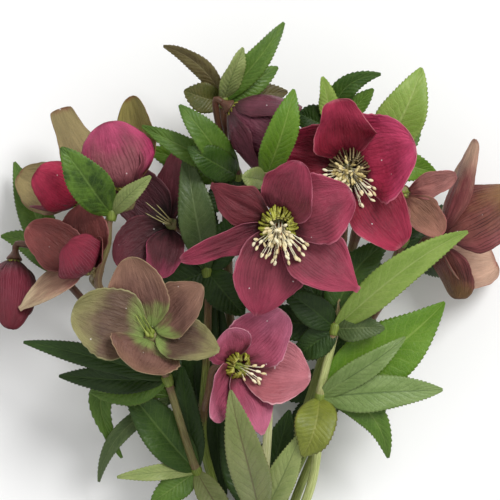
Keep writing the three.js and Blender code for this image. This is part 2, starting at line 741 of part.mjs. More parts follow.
for (const [name, stem] of Object.entries(STEMS)) {
  add(name, geometryOf(joined(stemSolids(stem))), "stem");
}

for (const [name, flower] of Object.entries(FLOWERS)) {
  const frame = flowerFrame(flower);
  if (flower.centre) {
    flower.sepals.forEach((one, i) => {
      add(`${name}_sepal_${i + 1}`, sepal(one, 4, 5).applyMatrix4(frame), flower.colour);
    });
    add(`${name}_stamens`, crown(flower.centre).applyMatrix4(frame), "anther");
  } else {
    const plate = turned([[0, GAP], [4, GAP], [4, GAP + SEPAL_THICK], [0, GAP + SEPAL_THICK]], 10);
    const solids = [plate, ...flower.sepals.map((one) => sepal(one, 2, 4))].map(solidOf);
    add(name, geometryOf(joined(solids)).applyMatrix4(frame), flower.colour);
  }
}

for (const [name, one] of Object.entries(BRACTS)) {
  add(name, geometryOf(bract(one)), "leaf");
}

add("band", band(), "band");

export default bunch;
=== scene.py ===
"""A bunch of cut hellebores lying on a pale surface, seen from above."""
import math

import bpy
import numpy as np
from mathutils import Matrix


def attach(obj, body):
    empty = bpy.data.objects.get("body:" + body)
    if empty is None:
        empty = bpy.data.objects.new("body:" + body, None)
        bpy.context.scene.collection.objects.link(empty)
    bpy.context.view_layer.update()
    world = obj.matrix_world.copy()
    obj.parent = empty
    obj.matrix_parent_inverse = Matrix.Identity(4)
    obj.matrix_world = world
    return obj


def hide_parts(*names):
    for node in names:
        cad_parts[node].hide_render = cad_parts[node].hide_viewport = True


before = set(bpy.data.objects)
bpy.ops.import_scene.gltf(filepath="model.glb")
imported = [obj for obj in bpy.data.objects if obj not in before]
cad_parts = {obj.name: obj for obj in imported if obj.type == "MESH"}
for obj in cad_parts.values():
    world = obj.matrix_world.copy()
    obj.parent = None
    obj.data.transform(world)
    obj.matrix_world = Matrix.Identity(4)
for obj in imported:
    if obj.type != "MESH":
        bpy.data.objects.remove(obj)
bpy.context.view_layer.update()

# ---- Driving dimensions, in millimetres ----

MM = 0.001
GAP = 0.3
STEM_RADIUS = 3.0
STEM_TOP_RADIUS = 2.2
STALK_RADIUS = 1.7
SWELLING = 0.55  # how much thicker a stem is where a bract or a branch sits
DISC_DEPTH = 5
SEPAL_THICK = 0.5
SEPAL_FOOT = 0.75  # height of a sepal's foot above the receptacle
SEPAL_BASE_RADIUS = 3
SEPAL_CLAW = 3.0
SEPAL_END = 0.35  # half the width left at a sepal's tip
FILAMENT_RADIUS = 0.22
ANTHER_LENGTH = (2.5, 3.5)
ANTHER_WIDTH = (1.2, 1.8)
STYLE_RADIUS = 0.22
KNOB_RADII = [3.4, 3.2, 2.6, 1.2]  # the middle of a flower, under its pods
LEAF_THICK = 0.4
LEAF_FOLD = 14  # degrees that each half of a leaflet stands up from its midrib
LEAF_END = 0.7  # half the width of a leaflet at its very foot and tip
TOOTH_LENGTH = 2.0
TOOTH_DEPTH = 0.5
TEETH = (12, 34)  # the fewest and the most on one side of a leaflet
SIDE_VEINS = 13
VEIN_SLANT = 2.3  # how many side veins one crosses from the midrib straight out to the margin
VEIN_CURVE = 0.8
BAND_Y = -118
BAND_WIDTH = 9
BAND_THICK = 1.2
BAND_TURNS = 4
CUT_Y = -200
GATHER_Y = (-100, -84)
STEM_PITCH = 2 * STEM_RADIUS + GAP
ROW_STEP = STEM_PITCH * math.sqrt(3) / 2
LOW_ROW = STEM_RADIUS + GAP + 1.3

# Where each stem of the bundle lies at the band: x and z.
SLOTS = {}
for row, row_names in enumerate((
    ("low_left", "low_middle", "low_right"),
    ("far_left", "inner_left", "inner_right", "far_right"),
    ("top_left", "top_middle", "top_right"),
)):
    for i, slot_name in enumerate(row_names):
        x = (i - (len(row_names) - 1) / 2) * STEM_PITCH
        SLOTS[slot_name] = (x, LOW_ROW + row * ROW_STEP)

# How finely the shapes are divided. The grids are points across and along a sepal.
OPEN_GRID = (41, 45)
NODDING_GRID = (29, 33)
LEAF_COLUMNS = 15
STEM_POINTS = 150
BRANCH_POINTS = 50
STEM_SIDES = 18
BAND_POINTS = 160
BAND_SIDES = 12

SEED_RANGE = 9
RNG = np.random.default_rng(7)

# Turned shapes, as radius and height. The radii of the lip are shares of its tube's thickness.
DISC_PROFILE = [
    (1.65, -5.2), (1.8, -4.4), (2.3, -3.2), (3.1, -2.0), (3.9, -1.0), (4.1, -0.3), (3.6, 0.25),
]
LIP_PROFILE = [(0.9, -0.5), (1.3, 0.1), (1.15, 0.2), (0.8, 0.0), (0.6, -0.6)]
# The fresh cut is a pale ring round a slightly sunk pith.
CUT_PROFILE = [(2.6, -0.6), (2.72, 0.02), (2.0, 0.04), (1.3, -0.12), (1.1, -0.5), (0.5, -0.52)]
SHEATH_PROFILE = [(2.4, -3.6), (2.75, -2.4), (2.9, -0.8), (3.0, 0.8), (2.8, 2.0), (2.2, 2.8)]

# ---- Colours: linear red, green and blue, in thousandths ----

# Each skin of a sepal: how strongly its veins show, its colours at its foot, over its middle,
# towards its tip, at its rim (where pale, a painted highlight along the edge), on its veins and on
# its outer side, and where the outer side has other colours towards its edges and its tip, those.
SKIN_PARTS = ("foot", "body", "tip", "rim", "vein", "outer", "edge", "outer_tip")
SKINS = {
    "wine": (0.55, (36, 6, 10), (192, 34, 52), (325, 42, 82), (450, 140, 190), (70, 6, 14),
        (190, 28, 46)),
    # wine_painted_shade: the wine colours darkened, painted shade for the sepal that curls down
    # into shadow.
    "wine_painted_shade": (0.55, (35, 8, 10), (120, 18, 25), (190, 30, 42), (280, 80, 90), (35, 5, 7),
        (130, 20, 28)),
    "crimson": (0.50, (8, 1, 2), (190, 11, 26), (330, 26, 62), (480, 140, 170), (50, 3, 7),
        (230, 22, 46)),
    # crimson_painted_light: the crimson colours brightened, painted light for the tilted sepal that
    # lies in shade.
    "crimson_painted_light": (0.50, (12, 2, 3), (330, 22, 58), (520, 55, 135), (580, 200, 250),
        (110, 5, 16), (320, 30, 62)),
    "ruby": (0.60, (220, 18, 36), (480, 34, 88), (480, 40, 100), (80, 6, 12), (180, 10, 26),
        (440, 30, 74), (250, 12, 30), (400, 28, 70)),
    "nodding": (0.34, (40, 6, 8), (105, 10, 19), (120, 11, 22), (40, 4, 8), (400, 110, 150),
        (125, 12, 24), (54, 6, 10), (100, 10, 17)),
    "pink": (0.60, (75, 14, 18), (345, 66, 115), (470, 125, 205), (660, 340, 400), (180, 14, 42),
        (280, 50, 85)),
    "pink_tan": (0.60, (75, 14, 18), (290, 78, 92), (450, 150, 178), (660, 380, 410),
        (180, 26, 42), (300, 70, 90)),
    "olive": (0.55, (205, 280, 75), (120, 72, 48), (235, 215, 88), (340, 330, 160), (70, 26, 24),
        (240, 220, 95)),
    "olive_pink": (0.55, (205, 280, 75), (165, 82, 62), (235, 125, 85), (360, 260, 150),
        (85, 26, 26), (230, 170, 90)),
    "maroon": (0.50, (16, 6, 5), (70, 16, 21), (120, 26, 36), (240, 60, 80), (20, 5, 6),
        (130, 26, 34)),
    "plum": (0.55, (18, 7, 7), (80, 21, 28), (125, 34, 44), (230, 80, 95), (26, 7, 9),
        (120, 28, 36)),
    "maroon_pink": (0.55, (35, 9, 10), (210, 50, 66), (300, 74, 100), (330, 90, 120),
        (60, 10, 15), (200, 44, 62)),
    "plum_dark": (0.45, (24, 8, 9), (85, 20, 26), (260, 40, 80), (420, 70, 140), (14, 4, 4),
        (120, 22, 34)),
    "veined": (0.75, (80, 12, 16), (290, 78, 100), (560, 90, 200), (120, 10, 22), (85, 10, 16),
        (285, 90, 105), (400, 36, 115), (430, 58, 135)),
    "tan": (0.45, (200, 90, 60), (250, 190, 85), (270, 215, 95), (200, 60, 45), (150, 90, 45),
        (260, 205, 95), (290, 180, 110)),
    "gold": (0.45, (130, 70, 30), (210, 170, 50), (230, 195, 55), (180, 40, 25), (110, 60, 20),
        (205, 170, 50), (170, 110, 36)),
    "rose": (0.60, (60, 14, 10), (100, 22, 18), (180, 46, 42), (350, 140, 120), (50, 10, 8),
        (185, 56, 50), (220, 70, 62)),
    "magenta": (0.40, (110, 10, 18), (240, 30, 50), (330, 42, 85), (120, 10, 18), (520, 190, 240),
        (235, 25, 48), (150, 12, 26)),
    "rose_tan": (0.60, (200, 65, 55), (370, 205, 140), (520, 400, 250), (420, 280, 200),
        (160, 45, 40), (340, 200, 140)),
    "brown": (0.90, (30, 6, 6), (195, 52, 46), (270, 140, 58), (80, 20, 16), (34, 7, 7),
        (180, 56, 46), (215, 56, 60), (240, 128, 54)),
    "wine_tan": (0.60, (50, 10, 10), (220, 56, 50), (500, 300, 210), (200, 50, 50), (60, 10, 12),
        (205, 50, 54), (240, 80, 70), (540, 340, 240)),
    "brown_tan": (0.55, (120, 40, 34), (400, 225, 160), (500, 320, 230), (300, 110, 90),
        (200, 80, 60), (440, 270, 190)),
    "dusty": (0.70, (130, 34, 32), (330, 130, 112), (400, 170, 150), (480, 150, 160),
        (140, 28, 30), (300, 120, 95)),
    "dusty_olive": (0.75, (110, 36, 26), (238, 114, 73), (300, 136, 98), (480, 150, 150),
        (110, 34, 22), (250, 118, 76)),
    "dusky": (0.55, (60, 20, 24), (120, 30, 46), (105, 24, 36), (160, 50, 62), (40, 9, 16),
        (130, 33, 52), (95, 20, 32)),
}
# How far out along a sepal the colour of its tip sets in.
TIP_STARTS = 0.42
TIP_STARTS_LATE = {"olive": 0.55, "plum_dark": 0.6}

# Each kind of leaflet: upper side, its second colour, its veins, its margin and its under side.
LEAVES = {
    # deep is a dark green, darkened further as painted shade for the bunch's interior. dark, nearly
    # black, is painted shade for leaflets in the gaps between stems and flowers.
    "deep": ((24, 64, 5), (42, 94, 10), (110, 180, 40), (50, 70, 15), (85, 130, 40)),
    "dark": ((12, 34, 3), (22, 52, 6), (50, 95, 18), (26, 40, 8), (50, 85, 20)),
    "mid": ((60, 130, 12), (95, 180, 22), (180, 265, 60), (90, 110, 20), (130, 180, 55)),
    "bright": ((90, 200, 10), (125, 245, 18), (260, 370, 75), (120, 180, 30), (180, 260, 60)),
    "light": ((190, 300, 45), (260, 370, 75), (370, 460, 150), (160, 200, 45), (260, 330, 100)),
    "pale": ((230, 290, 90), (290, 340, 120), (120, 170, 50), (180, 190, 65), (270, 320, 120)),
    "sage": ((140, 215, 58), (190, 268, 88), (58, 98, 28), (120, 160, 50), (200, 260, 100)),
    "red_rib": ((180, 220, 68), (232, 262, 96), (98, 58, 30), (170, 165, 55), (220, 240, 95)),
    "grey": ((50, 84, 22), (80, 118, 36), (150, 200, 80), (55, 80, 22), (120, 160, 65)),
    "gold": ((170, 196, 26), (122, 146, 20), (235, 245, 62), (95, 65, 20), (240, 250, 65)),
    "olive": ((58, 68, 10), (95, 90, 20), (170, 160, 60), (70, 36, 12), (130, 130, 45)),
    "brown": ((85, 62, 20), (130, 110, 38), (220, 190, 90), (60, 22, 12), (140, 115, 50)),
    "blotched": ((80, 155, 16), (20, 50, 5), (130, 210, 45), (110, 170, 30), (150, 210, 60)),
}

# Each stem's darker and lighter streaks, and those where it is flushed.
STEM_SKINS = {
    "green": ((130, 170, 30), (280, 320, 90), (85, 34, 18), (190, 110, 55)),
    "lime": ((90, 130, 12), (240, 310, 55), (100, 34, 18), (200, 120, 50)),
    "light": ((280, 330, 95), (540, 580, 245), (120, 55, 28), (260, 160, 85)),
    "pale": ((440, 460, 180), (720, 720, 400), (120, 60, 30), (260, 160, 85)),
    "tan": ((115, 125, 30), (245, 250, 85), (110, 56, 28), (215, 150, 75)),
    "brown": ((80, 60, 20), (150, 120, 50), (50, 18, 8), (120, 56, 28)),
}
FLECK = (110, 22, 26)

# Each small part: its two colours, how fine their pattern is, and how rough it is.
SMALL_SKINS = {
    "anther": ((740, 620, 340), (900, 830, 580), 1500, 0.55),
    "gold_anther": ((420, 330, 110), (680, 570, 270), 1500, 0.55),
    "filament": ((700, 640, 430), (860, 820, 640), 900, 0.45),
    "dark_filament": ((60, 40, 12), (220, 170, 80), 700, 0.45),
    "nectary": ((150, 140, 12), (420, 430, 60), 420, 0.35),
    "nectary_mouth": ((300, 280, 50), (560, 540, 160), 420, 0.35),
    "dark_filament_mouth": ((220, 170, 60), (420, 340, 160), 420, 0.40),
    "style_green": ((180, 230, 30), (330, 380, 80), 500, 0.40),
    "style_gold": ((330, 300, 120), (560, 500, 260), 500, 0.40),
    "style_red": ((180, 50, 20), (330, 130, 50), 500, 0.40),
    "receptacle": ((150, 170, 45), (240, 180, 80), 300, 0.45),
    "cut": ((420, 460, 240), (600, 620, 400), 800, 0.50),
    "rubber": ((400, 230, 80), (520, 330, 140), 200, 0.55),
}
# The near-white of the painted glints that stand for dew drops on the sepals.
GLINT = (850, 780, 760)
PAPER = (900, 900, 895), (930, 930, 925)

# How fine the patterns are that don't follow a piece's own map, in cells to the metre.
GLINT_CELLS = 230.0
RIM_CELLS = 260.0
SEPAL_GRAIN = 1700.0
LEAF_NET = 620.0
LEAF_GRAIN = 900.0
STEM_CLOUDS = 60.0
STEM_FLECKS = 620.0
PAPER_CLOUDS = 3.0

# ---- The plan of the bunch, as in its CAD model ----

# Each flower: where its disc stands, the way it faces, how ruffled its sepals are, and these.
# sepals: turn, long, wide, rise at foot, middle and tip, cup, twist, skin, and where it isn't
#   0.75 and 0.45, how slowly it widens from its foot and narrows to its tip.
# ring: how many nectaries, how far out, high and thick, how far out their mouths stay, skin.
# styles: how many, how long, how they lean, colour. pods: how plump they are at their feet.
#   splay: how far apart their ends stand.
# stamens: groups of so many, their middle, spread, least and greatest height, and anthers.
SMALL_RING = (14, 4.5, 5, 0.7, 0.8, "nectary")
FLOWERS = {
    "wine_flower": dict(
        at=(14, 98.5, 92), face=(0.0, -0.28, 0.96), ruffle=1.2, slot="wine_sepal",
        sepals=[
            (24, 38, 35, (22, 6, -14), 20, -15, "wine"),
            (-40, 50, 30, (20, 4, -8), 16, -15, "wine", 0.75, 1.1),
            (-103, 47, 39, (22, 4, -16), 22, -15, "wine", 0.75, 0.9),
            (-160, 49, 14, (15, 6, -4), 24, -3, "wine"),
            # This sepal curls down into shadow, and its skin is wine with painted shade.
            (151, 43, 22, (27, 8, -56), -4, -14, "wine_painted_shade", 1.6, 0.9),
            (73, 38, 31, (32, 32, 10), 34, -20, "wine", 1.3),
        ],
        ring=(44, 11.5, 9, 0.62, 0.45, "nectary"), styles=(3, 16, (0, -10), "red"), pods=0.3,
        stamens=[
            (44, (1, -9.5), (13.5, 8.5), (8, 13), "anther"),
            (24, (0, -3), (6.5, 6), (10, 14), "anther"),
        ],
    ),
    "crimson_flower": dict(
        at=(48, 125.5, 80), face=(0.1, -0.15, 0.98), ruffle=2.2, slot="crimson_sepal",
        sepals=[
            (102, 39, 33, (34, 35, 10), 34, 3, "crimson", 2, 0.3),
            (166, 36, 36, (4, -12, -18), 20, 0, "crimson", 2),
            (240, 34, 28, (18, 0, 0), 20, -14, "crimson"),
            (305, 46, 32, (23, 12, -14), 22, -14, "crimson"),
            # This tilted sepal lies in shade, and its skin is crimson with painted light.
            (24, 36, 46, (26, 38, 20), 26, -17, "crimson_painted_light"),
        ],
        ring=(54, 12.5, 10.5, 0.36, 0.45, "dark_filament"), styles=(5, 13, (0, -2), "gold"),
        stamens=[
            (44, (-1, -1), (7, 6.5), (8, 13), "gold_anther"),
            (22, (-6, -5), (7, 8), (10, 13), "anther"),
            (12, (8, -11), (5, 7), (8, 12), "anther"),
        ],
    ),
    "pink_flower": dict(
        at=(-8, 28, 66), face=(0.5, -0.12, 0.86), ruffle=0.7, slot="pink_sepal",
        sepals=[
            (54, 34, 32, (24, 30, 18), 26, -15, "pink"),
            (-12, 37, 34, (22, 26, 10), 24, -15, "pink_tan", 0.75, 0.6),
            (-76, 35, 27, (24, 26, 16), 26, -15, "pink", 0.75, 0.8),
            (-140, 36, 26, (26, 36, 38), 26, -15, "pink"),
            (122, 28, 24, (24, 40, 46), 26, -15, "pink"),
        ],
        ring=(26, 7.6, 6.5, 0.72, 0.52, "nectary"), styles=(4, 10, (2, -2), "green"),
        stamens=[(9, (6, -3.5), (6, 5.5), (8, 11), "anther")],
    ),
    "olive_flower": dict(
        at=(-49, 43, 84), face=(-0.04, 0.26, 0.96), ruffle=0.6, slot="olive_sepal",
        sepals=[
            (166, 38, 36, (23, 15, 7), 24, -15, "olive"),
            (105, 38, 31, (24, 30, 34), 30, -15, "olive_pink"),
            (40, 33, 30, (22, 20, 12), 26, -15, "olive_pink", 0.75, 0.7),
            (-15, 33, 25, (17, 7, -9), 22, -15, "olive", 0.75, 0.7),
            (-106, 25, 38, (24, 30, 56), 26, -13, "olive_pink", 1, 0.3),
        ],
        styles=(4, 8, (-5, 8), "green"), pods=1.2,
    ),
    "maroon_flower": dict(
        at=(-39.5, 98, 47), face=(-0.3, 0.2, 0.93), ruffle=0.5, slot="maroon_sepal",
        sepals=[
            (78, 34, 20, (22, 16, 8), 30, -14, "maroon_pink"),
            (134, 36, 30, (22, 18, 10), 24, -14, "plum"),
            (222, 32, 30, (22, 18, 10), 24, -14, "maroon"),
            (264, 28, 20, (20, 14, 20), 26, -14, "plum_dark"),
            (4, 20, 18, (12, 0, -8), 24, -14, "maroon"),
        ],
        styles=(4, 14, (-7, 6), "gold"), pods=0.3, splay=3.6,
    ),
    "veined_flower": dict(
        at=(-61, 115, 66), face=(-0.3, 0.95, 0), ruffle=0.5, slot="rose_sepal",
        sepals=[
            (271, 40, 43, (34, 82, 92), 46, 0, "veined", 0.8),
            (132, 63, 27, (24, 70, 84), 24, -28, "tan", 3, 0.25),
            (90, 41, 26, (25, 74, 76), 30, 0, "tan"),
            (50, 56, 29, (22, 84, 84), 30, 0, "gold"),
            (8, 34, 26, (22, 84, 92), 34, 0, "maroon_pink", 0.6),
        ],
        ring=(16, 5, 5, 0.7, 0.8, "nectary"), styles=(4, 10, (0, 0), "green"),
        stamens=[(20, (0, 0), (5, 5), (8, 13), "anther")],
    ),
    "ruby_flower": dict(
        at=(-86, 109, 52), face=(-0.8, 0.55, 0.2), ruffle=0.5, slot="crimson_sepal",
        sepals=[
            (290, 35, 27, (32, 72, 80), 40, 0, "ruby", 0.6),
            (206, 24, 18, (30, 66, 70), 30, 0, "maroon_pink"),
            (118, 40, 30, (25, 56, 60), 30, 0, "tan"),
            (60, 11, 11, (25, 66, 70), 30, 0, "tan"),
            (350, 10, 10, (30, 80, 90), 30, 0, "ruby"),
        ],
        ring=SMALL_RING, styles=(4, 9, (0, 0), "green"),
        stamens=[(16, (0, 0), (4, 4), (8, 12), "anther")],
    ),
    "rose_flower": dict(
        at=(-81, 76, 66), face=(-0.36, 0.46, 0.81), ruffle=0.5, slot="rose_sepal",
        sepals=[
            (142, 34, 26, (25, 30, 34), 34, 0, "rose"),
            (84, 29, 28, (24, 26, 20), 26, 0, "rose"),
            (20, 20, 14, (30, 54, 66), 30, 0, "rose"),
            (208, 37, 17, (15, 2, -4), 24, 0, "rose_tan", 0.75, 0.9),
            (-48, 35, 28, (50, 98, 112), 36, 0, "magenta", 0.6),
        ],
        ring=SMALL_RING, styles=(3, 9, (0, 0), "green"),
    ),
    "drooping_flower": dict(
        at=(-119, 80, 42), face=(-0.12, -0.97, 0.2), ruffle=0.4, slot="crimson_sepal",
        sepals=[
            (76, 46, 25, (30, 80, 88), 40, 0, "nodding", 0.6),
            (20, 31, 15, (30, 84, 92), 30, 0, "nodding"),
            (160, 33, 18, (30, 76, 84), 30, 0, "nodding"),
            (236, 34, 20, (30, 74, 80), 30, 0, "nodding"),
            (308, 30, 18, (30, 76, 84), 30, 0, "nodding"),
        ],
        ring=SMALL_RING, styles=(4, 10, (0, 0), "green"),
        stamens=[(18, (0, 0), (4.5, 4.5), (9, 14), "anther")],
    ),
    "tan_flower": dict(
        at=(95, 91, 47), face=(0.82, 0.05, -0.57), ruffle=0.6, slot="brown_rose_sepal",
        sepals=[
            (282, 50, 18, (18, 16, 14), 34, 0, "wine_tan"),
            (266, 52, 20, (30, 28, 26), 30, 0, "brown_tan", 0.75, 0.8),
            (315, 44, 40, (40, 54, 50), 24, 0, "brown"),
            (95, 31, 34, (20, 26, 20), 28, 0, "brown", 0.75, 0.3),
            (134, 59, 42, (25, 84, 96), 30, 10, "brown_tan"),
        ],
        ring=SMALL_RING, styles=(4, 9, (0, 0), "green"),
        stamens=[(18, (0, 0), (4.5, 4.5), (9, 14), "anther")],
    ),
    "dusty_flower": dict(
        at=(76.5, 113.5, 65), face=(0.45, -0.2, 0.85), ruffle=0.4, slot="rose_sepal",
        sepals=[
            (18, 25, 14, (20, 14, 20), 40, 0, "dusty"),
            (-52, 26, 18, (26, 24, 14), 34, 0, "dusty_olive"),
            (130, 13, 11, (25, 50, 60), 30, 0, "brown_tan"),
            (176, 13, 11, (25, 60, 70), 30, 0, "dusty"),
            (236, 16, 12, (25, 50, 60), 30, 0, "dusty"),
        ],
        styles=(3, 5, (0, 0), "green"),
    ),
    "dusky_flower": dict(
        at=(-10, 156, 67), face=(0.82, -0.52, -0.1), ruffle=0.4, slot="dusky_sepal",
        sepals=[
            (84, 38, 36, (35, 82, 88), 48, 0, "dusky", 0.4),
            (18, 36, 26, (32, 66, 74), 34, 0, "dusky", 0.6),
            (156, 36, 28, (32, 66, 74), 34, 0, "dusky", 0.6),
            (232, 32, 22, (30, 66, 74), 30, 0, "dusky"),
            (306, 32, 22, (30, 66, 74), 30, 0, "dusky"),
        ],
        ring=SMALL_RING, styles=(4, 9, (0, 0), "green"),
        stamens=[(16, (0, 0), (4.5, 4.5), (8, 12), "anther")],
    ),
}

# Each stem: its slot in the bundle, its skin, its cut, its path, the flower it ends in, its
# branches, and how red it is at its cut end and at its top.
STEMS = {
    "stem_olive": dict(
        slot="top_left", skin="tan", cut=0,
        path=[(-20, -42, 27), (-27, -27, 35), (-41.5, 20.5, 60), (-45, 30, 69)],
        flower="olive_flower", red=(0.15, 0.55),
    ),
    "stem_maroon": dict(
        slot="inner_left", skin="lime", cut=3,
        path=[(-17, -40, 16), (-24, -10, 26), (-22, 30, 38), (-21.7, 74, 42), (-25, 86, 41)],
        flower="maroon_flower", red=(0.1, 0.8),
        branches=[
            dict(path=[(-23.6, 2, 29.5), (-21, 14, 42), (-18, 26, 54)], flower="pink_flower"),
        ],
    ),
    "stem_wine": dict(
        slot="top_middle", skin="pale", cut=2,
        path=[(5, -52, 26), (9.5, 5, 48), (9, 45, 60), (9, 70, 66), (13, 94, 76)],
        flower="wine_flower", red=(0.0, 0.5),
        branches=[dict(path=[(9, 62, 64), (6, 92, 64), (7.5, 119, 74), (8.5, 124, 79)])],
    ),
    "stem_crimson": dict(
        slot="top_right", skin="light", cut=0,
        path=[
            (29, -40, 32), (34, -16, 42), (35, 11, 52), (42.5, 46, 60), (46, 80, 60), (48, 112, 62),
        ],
        flower="crimson_flower", red=(0.0, 0.85),
    ),
    "stem_tan": dict(
        slot="far_right", skin="green", cut=4,
        path=[(24, -40, 17), (40, 0, 34), (47, 23, 42), (58, 45, 46), (70.5, 64, 44), (82, 80, 42)],
        flower="tan_flower", red=(0.1, 0.9),
        branches=[
            dict(path=[(75, 70, 43.5), (75, 88, 46), (75.5, 103, 50)], flower="dusty_flower"),
        ],
    ),
    "stem_rose": dict(
        slot="far_left", skin="tan", cut=1,
        path=[
            (-24, -40, 16), (-38, 10, 30), (-60, 45, 44), (-76, 68, 58), (-71, 88, 65),
            (-69, 103, 65),
        ],
        flower="veined_flower", red=(0.2, 0.45),
        branches=[
            dict(path=[(-73, 63, 54.5), (-79, 70, 53)], flower="rose_flower"),
            dict(path=[(-74.6, 74, 60.5), (-76, 88, 54), (-77, 97, 50)], flower="ruby_flower"),
        ],
    ),
    "stem_drooping": dict(
        slot="low_left", skin="brown", cut=5,
        path=[(-24, -40, 8), (-62, 30, 20), (-95, 72, 36), (-105.5, 85, 44), (-110, 87, 46)],
        flower="drooping_flower", red=(0.1, 0.9),
    ),
    "stem_dusky": dict(
        slot="low_middle", skin="brown", cut=0,
        path=[(-4, -40, 8), (-10, 40, 22), (-12, 110, 38), (-13.5, 160, 49), (-13.8, 166, 50.5)],
        red=(0.1, 0.75),
        branches=[
            dict(path=[(-12, 112, 38.4), (-6, 122, 50), (-14, 141, 58)], flower="dusky_flower"),
        ],
    ),
    "stem_right": dict(
        slot="inner_right", skin="green", cut=2,
        path=[(14, -40, 16), (34, 20, 28), (50, 80, 36), (65, 132, 43.5), (67, 138, 44.5)],
        red=(0.1, 0.5),
        branches=[dict(path=[(54, 94, 37.8), (46, 124, 41), (43, 145, 45), (42.4, 150, 46.5)])],
    ),
    "stem_low_right": dict(
        slot="low_right", skin="lime", cut=3,
        path=[(18, -40, 7), (48, 20, 14), (78, 90, 27), (80, 96, 28.5)],
        red=(0.1, 0.4),
    ),
}

